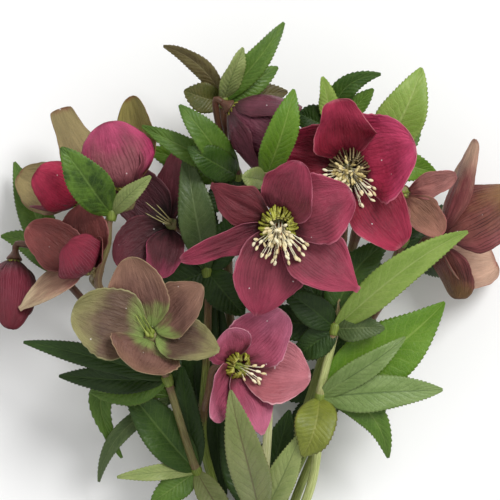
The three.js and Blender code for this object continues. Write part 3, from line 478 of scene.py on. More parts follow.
# Each bract: its stem, 0 on the stem itself or 1 on its first branch, the point of the path it
# clasps, and its leaflets: tip, width, arch, roll, kind of leaf, and sweep where it bows to one
# side. Three leaflets arch or roll a little more or less than in CAD, to lie clear of others.
# Leaflets of the kind dark are nearly black: they are painted shade in the gaps of the bunch.
BRACTS = {
    "bract_top": ("stem_dusky", 0, 3, [
        ((-43.5, 187.5, 50), 10, 5, -30, "brown", -5),
        ((-33, 165, 52), 15, 3, 0, "olive", 1),
        ((-3.5, 186, 64), 12, 6, 40, "pale"),
        ((17, 199, 56), 12, 6, 0, "mid", -0.5),
        ((14, 177, 46), 13, 4, 10, "mid"),
        ((19, 165, 38), 14, 0, 0, "brown"),
    ]),
    "bract_upper_left": ("stem_dusky", 1, 1, [
        ((-35, 157, 74), 15, 12, 10, "mid"),
        ((-31, 136, 73), 15, 8, 0, "deep"),
        ((-54, 147, 61), 12, 6, 0, "mid"),
        ((6, 97, 50), 15, 0, 0, "dark"),
        ((-52, 136, 42), 18, 0, 0, "bright"),
        ((-20, 104, 50), 15, 0, 0, "dark"),
    ]),
    "bract_upper_right": ("stem_right", 1, 2, [
        ((65.5, 173, 58), 11, 4, 0, "deep", 10),
        ((36, 171.5, 64), 10, 2, 20, "light"),
        ((24, 154, 50), 18, 6, 0, "dark"),
        ((62, 166, 50), 10, 0, 0, "mid"),
    ]),
    "bract_right_edge": ("stem_right", 0, 3, [
        ((86, 176.5, 52), 23, 8, 0, "light", -1),
        ((86, 147, 44), 15, 4, 0, "mid"),
        ((94, 124, 40), 15, 4, 0, "bright"),
    ]),
    "bract_back_right": ("stem_low_right", 0, 2, [
        ((85, 120, 34), 16, 4, 0, "dark"),
        ((106, 108, 6), 15, 1, 0, "dark"),
        ((104, 72, 0.6), 16, 6, 0, "dark"),
    ]),
    "bract_centre": ("stem_wine", 1, 2, [
        ((21.5, 164, 94), 15, 11, 0, "bright"),
        ((-4, 121, 98), 11, 6, 0, "pale"),
    ]),
    "bract_left": ("stem_rose", 0, 5, [
        ((-93, 135.5, 92), 20, 8, 0, "blotched"),
        ((-49, 121.5, 86), 8, 4, 0, "pale"),
    ]),
    "bract_far_left": ("stem_drooping", 0, 2, [
        ((-120.5, 130, 14), 17, 0, 0, "mid", 1),
        ((-127, 92, 20), 13, 0, 0, "mid", -5),
        ((-72, 96, 12), 16, 6, 0, "dark"),
    ]),
    "bract_inner_left": ("stem_maroon", 0, 3, [
        ((-32, 134, 54), 17, 16, 0, "grey"),
        ((-3, 52, 46), 18, 4, 0, "dark"),
        ((-24, 118, 38), 14, 0, 0, "dark"),
        ((-54, 62, 30), 18, 6, 0, "dark"),
        ((-6, 104, 50), 16, 2, 0, "dark"),
        ((-29, -20, 14), 17, 0, 0, "dark"),
        ((-14, -52, 2), 19, 0, 0, "dark"),
    ]),
    "bract_olive": ("stem_olive", 0, 2, [
        ((-113, 39, 64), 11, 8, 0, "dark", -2),
        ((-95.5, 22, 60), 13, 5, 0, "dark"),
        ((-80, 14, 54), 14, 4, 0, "mid", 2),
    ]),
    "bract_low_left": ("stem_rose", 0, 1, [
        ((-65, -20.5, 30), 13, 8, 0, "mid", -29),
        ((-77, -33, 22), 8, 14, 0, "grey", -9),
        ((-50, 50, 20), 16, 2, 0, "dark"),
    ]),
    "bract_front_left": ("stem_olive", 0, 1, [
        ((-64, 16, 50), 22, 3, 14, "deep"),
        ((-67, -29.5, 44), 7, 5, 0, "pale", -1),
        ((-8, -58, 40), 13, 6, 0, "red_rib"),
        ((-34, 26, 40), 14, 0, 0, "dark", 2),
        ((-50, -43, 36), 14, 4, 0, "mid"),
    ]),
    "bract_front": ("stem_wine", 0, 0, [
        ((-9.5, 16, 90), 19, 16, 0, "red_rib"),
        ((27, -5, 62), 14, 5, 0, "pale"),
        ((-13, 4, 23), 20, 0, 0, "dark"),
        ((20, 4, 34), 20, 0, 0, "dark"),
    ]),
    "bract_right": ("stem_crimson", 0, 3, [
        ((107.5, 94, 88), 17, 8, 0, "light", 5),
        ((67, 46, 67), 13, 4, 0, "grey"),
        ((16, 66, 68), 15, 4, 0, "dark"),
        ((22, 30, 50), 15, 4, 0, "dark"),
        ((66, 78, 52), 16, 4, 0, "dark"),
        ((70, 90, 57), 19, 4, 0, "deep", 6),
        ((-1, 51, 53), 18, 0, 0, "dark"),
        ((26, 73, 58), 16, 2, 0, "dark"),
    ]),
    "bract_front_right": ("stem_crimson", 0, 2, [
        ((26, -18, 60), 21, 8, 0, "gold", 2),
        ((77.5, 41.5, 62), 12, 8, 0, "sage"),
        ((96.5, 15, 56), 18, 9, 0, "sage", 0.5),
        ((69.5, -19.5, 48), 14, 8, 0, "mid", 10.5),
        ((85.5, 35, 52), 21, 4, 0, "bright", -4),
        ((97.5, 59, 56), 32, 1, 0, "bright", -2),
    ]),
    "bract_low_right": ("stem_low_right", 0, 1, [
        ((84, 44, 0.6), 16, 6, 0, "deep"),
        ((56, 8, 1), 16, 2, 0, "deep"),
        ((26, 66, 6), 20, 6, 0, "dark"),
        ((16, 10, 12), 16, 6, 0, "dark"),
        ((12, -26, 3), 18, -2, 0, "dark"),
    ]),
}

# ---- Curves and frames ----


def unit(vectors):
    return vectors / np.maximum(np.linalg.norm(vectors, axis=-1, keepdims=True), 1e-12)


def turned(vectors, axes, degrees):
    """The vectors turned about the unit axes."""
    c, s = math.cos(math.radians(degrees)), math.sin(math.radians(degrees))
    along = (vectors * axes).sum(-1, keepdims=True)
    return vectors * c + np.cross(axes, vectors) * s + axes * along * (1 - c)


def smooth(low, high, x):
    t = np.clip((x - low) / (high - low), 0, 1)
    return t * t * (3 - 2 * t)


def bell(x, width):
    """1 where x is 0, and away over the width."""
    return np.exp(-((x / width) ** 2))


def circle(count):
    """Angles all the way round."""
    return np.linspace(0, 2 * math.pi, count, endpoint=False)


def spoke(angle):
    """The unit vector at an angle in the plane of the first two axes."""
    return np.array([math.cos(angle), math.sin(angle), 0.0])


def bezier(points, v):
    """Points and unit tangents of a cubic Bezier curve at the values v."""
    p = np.array(points, float)
    v = np.asarray(v, float)[:, None]
    w = 1 - v
    at = w**3 * p[0] + 3 * w * w * v * p[1] + 3 * w * v * v * p[2] + v**3 * p[3]
    way = w * w * (p[1] - p[0]) + 2 * w * v * (p[2] - p[1]) + v * v * (p[3] - p[2])
    return at, unit(way)


def spline(points, count):
    """Evenly spaced points of a centripetal Catmull-Rom curve through the given ones."""
    p = np.array(points, float)
    p = np.vstack([2 * p[0] - p[1], p, 2 * p[-1] - p[-2]])
    t = np.linspace(0, 1, 25)[:, None]
    line = []
    for p0, p1, p2, p3 in zip(p, p[1:], p[2:], p[3:]):
        d0, d1, d2 = (math.sqrt(np.linalg.norm(b - a)) for a, b in ((p0, p1), (p1, p2), (p2, p3)))
        m1 = ((p1 - p0) / d0 - (p2 - p0) / (d0 + d1) + (p2 - p1) / d1) * d1
        m2 = ((p2 - p1) / d1 - (p3 - p1) / (d1 + d2) + (p3 - p2) / d2) * d1
        square, cube = 3 * (p2 - p1) - 2 * m1 - m2, 2 * (p1 - p2) + m1 + m2
        curve = p1 + m1 * t + square * t**2 + cube * t**3
        line.append(curve if not line else curve[1:])
    return spaced(np.vstack(line), count)


def run_along(line):
    """How far each point of the line is from its start, along it."""
    return np.concatenate([[0], np.cumsum(np.linalg.norm(np.diff(line, axis=0), axis=1))])


def spaced(line, count):
    """The same line through evenly spaced points."""
    run = run_along(line)
    at = np.linspace(0, run[-1], count)
    return np.stack([np.interp(at, run, line[:, k]) for k in range(3)], 1)


def placed(points, flower):
    """Points given from a flower's disc, with its face as the third axis, in the bunch."""
    axis = unit(np.array(flower["face"], float))
    right = unit(np.array([1.0, 0, 0]) - axis * axis[0])
    return points @ np.stack([right, np.cross(axis, right), axis]) + flower["at"]


def waves(rng, count, low, high):
    """A smooth random function of one value, about 1 high."""
    rate, phase = rng.uniform(low, high, count), rng.uniform(0, 2 * math.pi, count)
    return lambda x: sum(np.sin(x * r + f) for r, f in zip(rate, phase)) / math.sqrt(count)


def two_sided(rng, u, v, low, high):
    """A wave along v for each side of the midline, still at the midline."""
    left, right = waves(rng, 4, low, high), waves(rng, 4, low, high)
    return np.where(u < 0, left(v), right(v)) * smooth(0, 0.3, np.abs(u))


# ---- Meshes ----


def linked(name, data):
    """A new object in the scene."""
    thing = bpy.data.objects.new(name, data)
    bpy.context.scene.collection.objects.link(thing)
    return thing


class Piece:
    """Gathers sheets and tubes in millimetres, and makes one object of them."""

    def __init__(self):
        self.points, self.faces, self.uv, self.values = [], [], [], []
        self.kinds, self.skins, self.count = [], [], 0

    def add(self, points, faces, uv, skin, side=1.0, seed=0.0, tone=0.0):
        """side is 1 on the face that looks up or in. seed and tone vary the pattern and colour."""
        points = np.asarray(points, float).reshape(-1, 3)
        if skin not in self.skins:
            self.skins.append(skin)
        n = len(points)
        self.points.append(points)
        self.faces += [tuple(int(i) + self.count for i in f) for f in faces]
        self.kinds += [self.skins.index(skin)] * len(faces)
        self.uv.append(np.asarray(uv, float).reshape(-1, 2))
        values = [np.broadcast_to(np.asarray(x, float).ravel(), n) for x in (side, seed, tone)]
        self.values.append(np.stack(values, 1))
        self.count += n

    def make(self, name, slot, *nodes):
        mesh = bpy.data.meshes.new(name)
        mesh.from_pydata(np.vstack(self.points) * MM, [], self.faces)
        for skin in self.skins:
            mesh.materials.append(material(skin))
        mesh.polygons.foreach_set("material_index", self.kinds)
        mesh.polygons.foreach_set("use_smooth", [True] * len(self.faces))
        corners = np.empty(len(mesh.loops), int)
        mesh.loops.foreach_get("vertex_index", corners)
        uv = np.vstack(self.uv)[corners].ravel()
        mesh.uv_layers.new(name="grain").uv.foreach_set("vector", uv)
        for k, value in enumerate(("side", "seed", "tone")):
            layer = mesh.attributes.new(value, "FLOAT", "POINT")
            layer.data.foreach_set("value", np.vstack(self.values)[:, k].copy())
        mesh.update()
        piece = linked(name, mesh)
        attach(piece, "root")
        if nodes:
            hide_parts(*nodes)


def grid_faces(rows, columns, start=0, flip=False, closed=False):
    """Quads of a grid of points, row by row; closed joins the last column to the first."""
    faces = []
    for i in range(rows - 1):
        for j in range(columns if closed else columns - 1):
            a, b = start + i * columns + j, start + i * columns + (j + 1) % columns
            quad = (a, b, b + columns, a + columns)
            faces.append(quad[::-1] if flip else quad)
    return faces


def cap_faces(last, sides):
    """Triangles that close both ends of a tube. The middles of its ends are points last on."""
    faces = []
    for j in range(sides):
        k = (j + 1) % sides
        faces.append((last, k, j))
        faces.append((last - sides + j, last - sides + k, last + 1))
    return faces


def surface(at, side, normal, x, z):
    """A grid of points, x to the side of the points of a midline and z above them."""
    return at[:, None] + side[:, None] * x[..., None] + normal[:, None] * z[..., None]


def add_sheet(piece, points, thick, U, V, skin, rng):
    """A closed sheet: the grid of points carried to both sides by half its thickness."""
    rows, columns = points.shape[:2]
    across = np.gradient(points, axis=1)
    along = np.gradient(points, axis=0)
    normal = unit(np.cross(across, along))
    offset = normal * (np.asarray(thick)[..., None] / 2)
    both = np.stack([points + offset, points - offset]).reshape(-1, 3)
    n = rows * columns
    faces = grid_faces(rows, columns) + grid_faces(rows, columns, n, flip=True)
    ring = [(0, j) for j in range(columns - 1)] + [(i, columns - 1) for i in range(rows - 1)]
    ring += [(rows - 1, j) for j in range(columns - 1, 0, -1)]
    ring += [(i, 0) for i in range(rows - 1, 0, -1)]
    edge = [i * columns + j for i, j in ring]
    for a, b in zip(edge, edge[1:] + edge[:1]):
        faces.append((a + n, b + n, b, a))
    side = np.repeat([1.0, 0.0], n)
    uv = np.tile(np.stack([U / 2 + 0.5, V], -1).reshape(-1, 2), (2, 1))
    piece.add(both, faces, uv, skin, side, pattern_seed(rng), rng.uniform(-0.6, 0.6))


def add_tube(piece, line, radius, skin, sides=12, seed=0.0, tone=0.0, rough=0.0, tip=0.0):
    """A closed round bar along a line of points. tip: how many millimetres of its end round off."""
    line = np.asarray(line, float)
    n = len(line)
    way = unit(np.gradient(line, axis=0))
    normal = unit(np.cross(way[0], [0.31, 0.17, 0.93]))
    run, angle = run_along(line), circle(sides)
    radius = np.broadcast_to(np.asarray(radius, float), n).copy()
    if tip:
        left = np.clip((run[-1] - run) / tip, 0, 1)
        radius *= np.sqrt(np.maximum(1 - (1 - left) ** 2, 0.02))
    points, uv = [], []
    for i in range(n):
        normal = unit(normal - way[i] * (normal @ way[i]))
        other = np.cross(way[i], normal)
        reach = radius[i] * (1 + rough * np.sin(5 * angle + 0.06 * run[i]))
        across, up = np.outer(np.cos(angle) * reach, normal), np.outer(np.sin(angle) * reach, other)
        points.append(line[i] + across + up)
        uv.append(np.stack([angle / (2 * math.pi), np.full(sides, run[i])], 1))
    points.append(line[[0, -1]])
    uv.append(np.array([[0.5, run[0]], [0.5, run[-1]]]))
    faces = grid_faces(n, sides, closed=True) + cap_faces(n * sides, sides)
    tones = np.broadcast_to(np.asarray(tone, float), n)
    tones = np.concatenate([np.repeat(tones, sides), tones[[0, -1]]])
    piece.add(np.vstack(points), faces, np.vstack(uv), skin, seed=seed, tone=tones)


def add_lathe(piece, at, axis, profile, skin, sides=20, tone=0.0):
    """A closed body of revolution from points (radius, height) along an axis."""
    axis = unit(np.asarray(axis, float))
    side = unit(np.cross(axis, [0.31, 0.17, 0.93]))
    angle = circle(sides)
    ring = np.outer(np.cos(angle), side) + np.outer(np.sin(angle), np.cross(axis, side))
    radius, height = np.array(profile, float).T
    points = (height[:, None] * axis)[:, None] + radius[:, None, None] * ring
    points = np.vstack([points.reshape(-1, 3), np.outer(height[[0, -1]], axis)]) + at
    faces = grid_faces(len(radius), sides, closed=True) + cap_faces(len(radius) * sides, sides)
    uv = np.stack([np.tile(angle / (2 * math.pi), len(radius)), np.repeat(height, sides)], 1)
    uv = np.vstack([uv, [(0.5, height[0]), (0.5, height[-1])]])
    piece.add(points, faces, uv, skin, tone=tone)


# ---- Materials ----


class Wire:
    """An output in a material. Sums and products of wires and numbers make the nodes for them."""

    def __init__(self, shader, socket):
        self.shader, self.socket = shader, socket

    def __add__(self, other):
        return self.shader.math("ADD", self, other)

    def __sub__(self, other):
        return self.shader.math("SUBTRACT", self, other)

    def __rsub__(self, other):
        return self.shader.math("SUBTRACT", other, self)

    def __mul__(self, other):
        return self.shader.math("MULTIPLY", self, other)

    def __pow__(self, other):
        return self.shader.math("POWER", self, other)

    def __abs__(self):
        return self.shader.math("ABSOLUTE", self)


class Shader:
    """A material whose nodes are made by short calls. A value is a number, a colour or a wire."""

    def __init__(self, name):
        self.material = bpy.data.materials.new(name)
        self.material.use_nodes = True
        self.nodes = self.material.node_tree.nodes
        self.links = self.material.node_tree.links
        self.surface = self.nodes["Principled BSDF"]

    def put(self, socket, value):
        if isinstance(value, Wire):
            self.links.new(value.socket, socket)
        elif isinstance(value, tuple):
            socket.default_value = (*(part / 1000 for part in value), 1.0)
        else:
            socket.default_value = value

    def node(self, kind, settings=(), **inputs):
        node = self.nodes.new("ShaderNode" + kind)
        for key, value in dict(settings).items():
            setattr(node, key, value)
        for key, value in inputs.items():
            self.put(node.inputs[key], value)
        return node

    def wire(self, node, output=0):
        return Wire(self, node.outputs[output])

    def math(self, operation, a, b=0.0):
        node = self.node("Math", dict(operation=operation))
        for socket, value in zip(node.inputs, (a, b)):
            self.put(socket, value)
        return self.wire(node)

    def larger(self, a, b):
        return self.math("MAXIMUM", a, b)

    def step(self, low, high, value):
        """Goes smoothly from 0 where value is low to 1 where it is high."""
        limits = {"Value": value, "From Min": low, "From Max": high}
        return self.wire(self.node("MapRange", dict(interpolation_type="SMOOTHSTEP"), **limits))

    def mix(self, share, a, b, blend="MIX"):
        node = self.node("Mix", dict(data_type="RGBA", blend_type=blend))
        for index, value in ((0, share), (6, a), (7, b)):
            self.put(node.inputs[index], value)
        return self.wire(node, 2)

    def lit(self, colour, light):
        """The colour times a number."""
        return self.mix(1.0, colour, self.vector(light, light, light), "MULTIPLY")

    def attribute(self, name):
        return self.wire(self.node("Attribute", dict(attribute_name=name)), "Fac")

    def grain(self):
        """The two coordinates of the piece's own map."""
        grain = self.wire(self.node("UVMap", dict(uv_map="grain")))
        apart = self.node("SeparateXYZ", Vector=grain)
        return self.wire(apart, 0), self.wire(apart, 1)

    def sheet(self):
        """How far across, along and out from its midline a point of a sheet is, and its values."""
        u, v = self.grain()
        x = u * 2 - 1
        return x, v, abs(x), *map(self.attribute, ("seed", "side", "tone"))

    def vector(self, x, y, z):
        return self.wire(self.node("CombineXYZ", X=x, Y=y, Z=z))

    def place(self):
        return self.wire(self.node("TexCoord"), "Object")

    def noise(self, vector, scale, detail=3.0, rough=0.55):
        node = self.node("TexNoise", Vector=vector, Scale=scale, Detail=detail, Roughness=rough)
        return self.wire(node, "Fac")

    def bump(self, height, strength, distance):
        node = self.node("Bump", Height=height, Strength=strength, Distance=distance)
        self.put(self.surface.inputs["Normal"], self.wire(node))

    def finish(self, colour, roughness, specular):
        self.put(self.surface.inputs["Base Color"], colour)
        self.put(self.surface.inputs["Roughness"], roughness)
        self.surface.inputs["Specular IOR Level"].default_value = specular
        return self.material


def line_mask(s, distance, width):
    """1 on a line and 0 beyond its width."""
    return s.step(width, width * 0.25, abs(distance))


def sepal_veins(s, x, v, seed):
    """Veins that run from the foot, fork once or twice and fade towards the rim."""
    drift = s.noise(s.vector(x * 1.6, v * 2.4, seed), 1.7, 2.0)
    bent = (drift - 0.5) * 0.11 + x
    cell = s.math("FRACT", bent * 3.5 + 10.5) - 0.5
    first = line_mask(s, cell, 0.055)
    fork = abs(cell) - s.step(0.06, 0.42, v) * 0.29
    second = line_mask(s, fork, 0.05) * s.step(0.08, 0.2, v)
    twig = abs(fork) - s.step(0.35, 0.8, v) * 0.12
    third = line_mask(s, twig, 0.035) * s.step(0.38, 0.5, v) * 0.7
    return s.larger(s.larger(first, second), third) * s.step(1.04, 0.45, v)


def with_glints(s, colour):
    """Small bright spots, far apart: painted glints that stand for dew drops."""
    cells = s.node("TexVoronoi", Vector=s.place(), Scale=GLINT_CELLS)
    glint = s.step(0.11, 0.06, s.wire(cells, "Distance"))
    chance = s.wire(s.node("SeparateXYZ", Vector=s.wire(cells, "Color")))
    return s.mix(glint * s.step(0.84, 0.86, chance) * 0.6, colour, GLINT)


def sepal_material(name):
    veins_show, *colours = SKINS[name]
    skin = dict(zip(SKIN_PARTS, colours))
    s = Shader("sepal_" + name)
    x, v, out, seed, side, tone = s.sheet()
    cloud = s.noise(s.vector(x + seed, v * 1.8, seed), 1.5)
    patch = s.step(0.28, 0.72, s.noise(s.vector(x - seed, v * 2, seed), 1.5))
    wander = (cloud - 0.5) * 0.7 + v
    colour = s.mix(s.step(0.06, 0.36, wander), skin["foot"], skin["body"])
    tip_starts = TIP_STARTS_LATE.get(name, TIP_STARTS)
    colour = s.mix(s.step(tip_starts, 1.0, out**2.5 * 0.3 + wander), colour, skin["tip"])
    aside = (cloud - 0.5) * 0.6 + out
    back = s.mix(s.step(0.35, 1.0, aside), skin["outer"], skin.get("edge", skin["outer"]))
    back = s.mix(s.step(0.45, 0.95, wander), back, skin.get("outer_tip", skin["outer"]))
    back = s.mix(s.step(0.0, 0.3, v), skin["foot"], back)
    colour = s.mix(1 - side, colour, back)
    veins = sepal_veins(s, x, v, seed) * (1 - patch * 0.65)
    colour = s.mix(veins * veins_show, colour, skin["vein"])
    # A thin line of the rim colour along the margin. Where the rim colour is pale, it is a painted
    # highlight on the edge. Where it is dark, it is the sepal's own margin colour.
    ragged = s.noise(s.place(), RIM_CELLS, 2.0) * 0.06 + s.larger(out, v)
    colour = s.mix(s.step(0.975, 1.03, ragged) * (patch * 0.5 + 0.3), colour, skin["rim"])
    streaked = s.vector((x + cloud * 0.5) * 11, v * 1.6, seed)
    streaks = s.step(0.3, 0.7, s.noise(streaked, 2.0, 4.0))
    grain = s.noise(s.place(), SEPAL_GRAIN, 2.0)
    colour = s.lit(colour, patch * 0.34 + streaks * 0.13 + grain * 0.3 + tone * 0.15 + 0.62)
    crease = s.noise(s.vector(x * 3, v * 2, seed), 2.4, 5.0, 0.6)
    s.bump(crease * 2.2 + veins * 0.12 + grain * 0.12 + streaks * 0.14, 0.6, 0.0012)
    # Painted glints, standing for dew drops, are laid over the colour last.
    return s.finish(with_glints(s, colour), cloud * 0.18 + 0.34, 0.22)


def leaf_material(name):
    body, second, vein, rim, under = LEAVES[name]
    s = Shader("leaf_" + name)
    x, v, out, seed, side, tone = s.sheet()
    drift = s.noise(s.vector(x, v * 3, seed), 2.0, 2.0)
    phase = drift * 0.9 + v * SIDE_VEINS - out**VEIN_CURVE * VEIN_SLANT
    cell = s.math("FRACT", phase + 20) - 0.5
    side_veins = line_mask(s, cell, 0.11) * s.step(1.0, 0.55, out)
    edges = dict(feature="DISTANCE_TO_EDGE")
    net = s.node("TexVoronoi", edges, Vector=s.place(), Scale=LEAF_NET)
    mesh = s.step(0.09, 0.02, s.wire(net, "Distance"))
    veins = s.larger(s.larger(s.step(0.075, 0.03, out), side_veins * 0.42), mesh * 0.28)
    cloud = s.noise(s.vector(x + seed, v * 3, seed), 1.6, 4.0)
    colour = s.mix(s.step(0.35, 0.68, cloud), body, second)
    colour = s.mix(1 - side, colour, under)
    colour = s.mix(veins * 0.55, colour, vein)
    colour = s.mix(s.step(0.93, 1.0, out) * 0.7, colour, rim)
    grain = s.noise(s.place(), LEAF_GRAIN)
    colour = s.lit(colour, grain * 0.3 + tone * 0.2 + 0.85)
    quilt = abs(cell) * s.step(1.0, 0.6, out)
    s.bump(grain * 0.35 + quilt - veins * 0.5, 0.5, 0.0007)
    return s.finish(colour, grain * 0.16 + 0.32, 0.28)


def stem_material(name):
    """Pale lengthwise streaks, flushed and flecked red where tone is high."""
    dark, light, flush, glow = STEM_SKINS[name]
    s = Shader("stem_" + name)
    u, v = s.grain()
    tone, seed = s.attribute("tone"), s.attribute("seed")
    turn = u * (2 * math.pi)
    around = s.vector(s.math("COSINE", turn) * 2.2, s.math("SINE", turn) * 2.2, v * 0.05 + seed)
    streaks = s.noise(around, 2.6, 4.0)
    cloud = s.noise(s.place(), STEM_CLOUDS, 4.0)
    flecks = s.step(0.52, 0.66, s.noise(s.place(), STEM_FLECKS))
    share = s.step(0.3, 0.7, streaks)
    flushed = s.step(0.42, 0.95, cloud * 0.55 + tone)
    colour = s.mix(flushed, s.mix(share, dark, light), s.mix(share, flush, glow))
    s.bump(streaks * 0.7 + cloud * 0.5, 0.4, 0.0005)
    return s.finish(s.mix(flecks * tone * 0.6, colour, FLECK), streaks * 0.2 + 0.34, 0.35)


def small_material(name):
    first, second, scale, rough = SMALL_SKINS[name]
    s = Shader("small_" + name)
    cloud = s.noise(s.place(), scale, 4.0)
    colour = s.mix(s.step(0.35, 0.65, s.attribute("tone") * 0.3 + cloud), first, second)
    s.bump(cloud, 0.25, 0.0004)
    return s.finish(colour, cloud * 0.15 + rough, 0.4)


def material(skin):
    """The material named by a pair such as ("sepal", "wine"), made once."""
    family, name = skin
    make = dict(sepal=sepal_material, leaf=leaf_material, stem=stem_material, small=small_material)
    return bpy.data.materials.get(f"{family}_{name}") or make[family](name)


def pattern_seed(rng):
    return rng.random() * SEED_RANGE


# ---- Flowers ----


def sepal_width(v, foot=0.75, point=0.45):
    """Share of a sepal's full width at v, its length being 1."""
    return np.sin(math.pi * v**0.85) ** (foot + (point - foot) * v)


def add_sepal(piece, flower, sepal, across, along, rng):
    turn, long, wide, rise, cup, twist, skin, *ends = sepal
    out = spoke(math.radians(turn))
    points = [out * SEPAL_BASE_RADIUS + [0, 0, SEPAL_FOOT]]
    for angle in rise:
        r = math.radians(angle)
        points.append(points[-1] + out * (math.cos(r) * long / 3) + [0, 0, math.sin(r) * long / 3])
    v = 1 - (1 - np.linspace(0, 1, along)) ** 1.5
    u = np.linspace(-1, 1, across)
    at, way = bezier(points, v)
    side = turned(np.broadcast_to([out[1], -out[0], 0.0], way.shape), way, twist)
    normal = np.cross(side, way)
    half = np.maximum(SEPAL_CLAW, wide * sepal_width(v, *ends)) / 2
    half = half * (1 - smooth(0.985, 1.02, v)) + SEPAL_END
    U, V = np.meshgrid(u, v)
    body = np.sin(math.pi * V) ** 0.6
    rim = np.clip(np.maximum(np.abs(U), 2 * V - 1), 0, 1)
    reach = half[:, None] * (1 + 0.05 * np.abs(U) ** 3 * two_sided(rng, U, V, 4, 14))
    reach = reach * (1 + 0.012 * np.abs(U) ** 6 * two_sided(rng, U, V, 30, 70))
    bend = math.radians(cup)
    x = reach / bend * np.sin(U * bend)
    z = reach / bend * (1 - np.cos(U * bend))
    z = z + flower["ruffle"] * rim**3 * body * two_sided(rng, U, V, 8, 18)
    z = z + 0.6 * flower["ruffle"] * body * two_sided(rng, U, V, 2, 6)
    buckle = waves(rng, 3, 2.5, 6)
    z = z + 0.02 * long * buckle(V + 0.45 * U) * body * smooth(0.15, 0.5, V)
    z = z + 0.14 * np.cos(U * 13 + 6 * rng.random()) * body * smooth(1.0, 0.3, V)
    z = z - 0.5 * bell(U, 0.14) * body * smooth(0.9, 0.2, V)
    shape = placed(surface(at, side, normal, x, z), flower)
    thin = SEPAL_THICK * (1 - 0.55 * np.maximum(np.abs(U) ** 4, V**6))
    add_sheet(piece, shape, thin, U, V, ("sepal", skin), rng)


def add_bead(piece, at, way, length, width, skin, tone):
    """A plump oval body that lies along a direction."""
    t = np.linspace(0, math.pi, 8)
    line = at + np.outer(-np.cos(t) * length / 2, way)
    add_tube(piece, line, np.maximum(np.sin(t), 0.08) * width / 2, skin, sides=8, tone=tone)


def arc(start, middle, end, count):
    t = np.linspace(0, 1, count)[:, None]
    return (1 - t) ** 2 * start + 2 * t * (1 - t) * middle + t * t * end


def add_ring(piece, flower, rng):
    """The nectaries: slim tubes round the stamens that bend in over them, with an open mouth."""
    count, reach, height, thick, inward, skin = flower["ring"]
    for i in range(count):
        out = spoke(2 * math.pi * (i + rng.uniform(-0.3, 0.3)) / count)
        far = reach * rng.uniform(0.85, 1.08)
        top = height * rng.uniform(0.75, 1.1)
        drift = np.array([-out[1], out[0], 0]) * rng.uniform(-1.2, 1.2)
        mouth = out * far * inward * rng.uniform(0.8, 1.2) + drift + [0, 0, top]
        line = arc(out * 3.0 + [0, 0, 0.8], out * far * 1.3 + [0, 0, 0.5 * top], mouth, 12)
        line = placed(line, flower)
        radius = thick * (0.6 + 0.5 * np.linspace(0, 1, 12))
        tone = rng.uniform(-0.6, 0.6)
        add_tube(piece, line, radius, ("small", skin), sides=8, tone=tone)
        lip = [(thick * share, along) for share, along in LIP_PROFILE]
        way = line[-1] - line[-2]
        add_lathe(piece, line[-1], way, lip, ("small", skin + "_mouth"), 8, tone=tone)


def add_stamens(piece, flower, rng):
    """Thin filaments that rise from the middle, spread over an oval and end in oval anthers."""
    for count, middle, spread, height, kind in flower["stamens"]:
        for i in range(count):
            a, share = rng.uniform(0, 2 * math.pi), (i + 0.5) / count
            far = math.sqrt(share)
            end = np.array([*middle, 0.0]) + np.array([*spread, 0.0]) * far * spoke(a)
            top = height[1] - (height[1] - height[0]) * share**1.5 + rng.uniform(-0.8, 0.8)
            start = unit(end + 1e-6) * rng.uniform(0.8, 2.6) + [0, 0, 0.9]
            end = end + [0, 0, top]
            line = arc(start, start * 0.6 + end * 0.4 + [0, 0, top * 0.55], end, 10)
            tone = rng.uniform(-0.8, 0.8)
            skin = ("small", "filament")
            add_tube(piece, placed(line, flower), FILAMENT_RADIUS, skin, sides=5, tone=tone)
            way = unit(unit(line[-1] - line[-2]) + rng.normal(0, 0.35, 3))
            world = placed(np.stack([line[-1] + way * 1.1, line[-1] + way * 2.1]), flower)
            size = rng.uniform(*ANTHER_LENGTH), rng.uniform(*ANTHER_WIDTH)
            add_bead(piece, world[0], unit(world[1] - world[0]), *size, ("small", kind), tone)


def add_styles(piece, flower, rng):
    """The carpels: plump pods close together at the middle, each drawn out to a thin style."""
    count, length, lean, colour = flower["styles"]
    skin = ("small", "style_" + colour)
    for i in range(count):
        out = spoke(2 * math.pi * i / count + 0.6)
        end = out * flower.get("splay", 1.5) + np.array([*lean, 0.0]) * rng.uniform(0.8, 1.2)
        end = end + [0, 0, length * rng.uniform(0.8, 1)]
        line = arc(out * 0.9 + [0, 0, 0.7], out * 1.9 + [0, 0, length * 0.5], end, 14)
        t = np.linspace(0, 1, 14)
        radius = STYLE_RADIUS + flower.get("pods", 0.8) * bell(t - 0.2, 0.2)
        tone = rng.uniform(-0.5, 0.5)
        add_tube(piece, placed(line, flower), radius, skin, sides=8, tone=tone, tip=0.4)
    knob = arc(*np.outer([0.0, 0.7, 1.5], [0, 0, 1]), 4)
    add_tube(piece, placed(knob, flower), KNOB_RADII, ("small", "receptacle"), sides=20)


def make_flower(name, flower, rng):
    """Open flowers have a piece for each sepal, nodding ones have one for them all."""
    apart = name + "_sepal_1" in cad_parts
    whole = Piece()
    for i, sepal in enumerate(flower["sepals"]):
        piece = Piece() if apart else whole
        add_sepal(piece, flower, sepal, *(OPEN_GRID if apart else NODDING_GRID), rng)
        if apart:
            node = f"{name}_sepal_{i + 1}"
            piece.make(node + "_skin", flower["slot"], node)
    if not apart:
        whole.make(name + "_skin", flower["slot"], name)
    centre = Piece()
    if "ring" in flower:
        add_ring(centre, flower, rng)
    if "stamens" in flower:
        add_stamens(centre, flower, rng)
    add_styles(centre, flower, rng)
    centre.make(name + "_centre", "stamens", *([name + "_stamens"] if apart else []))


# ---- Stems ----


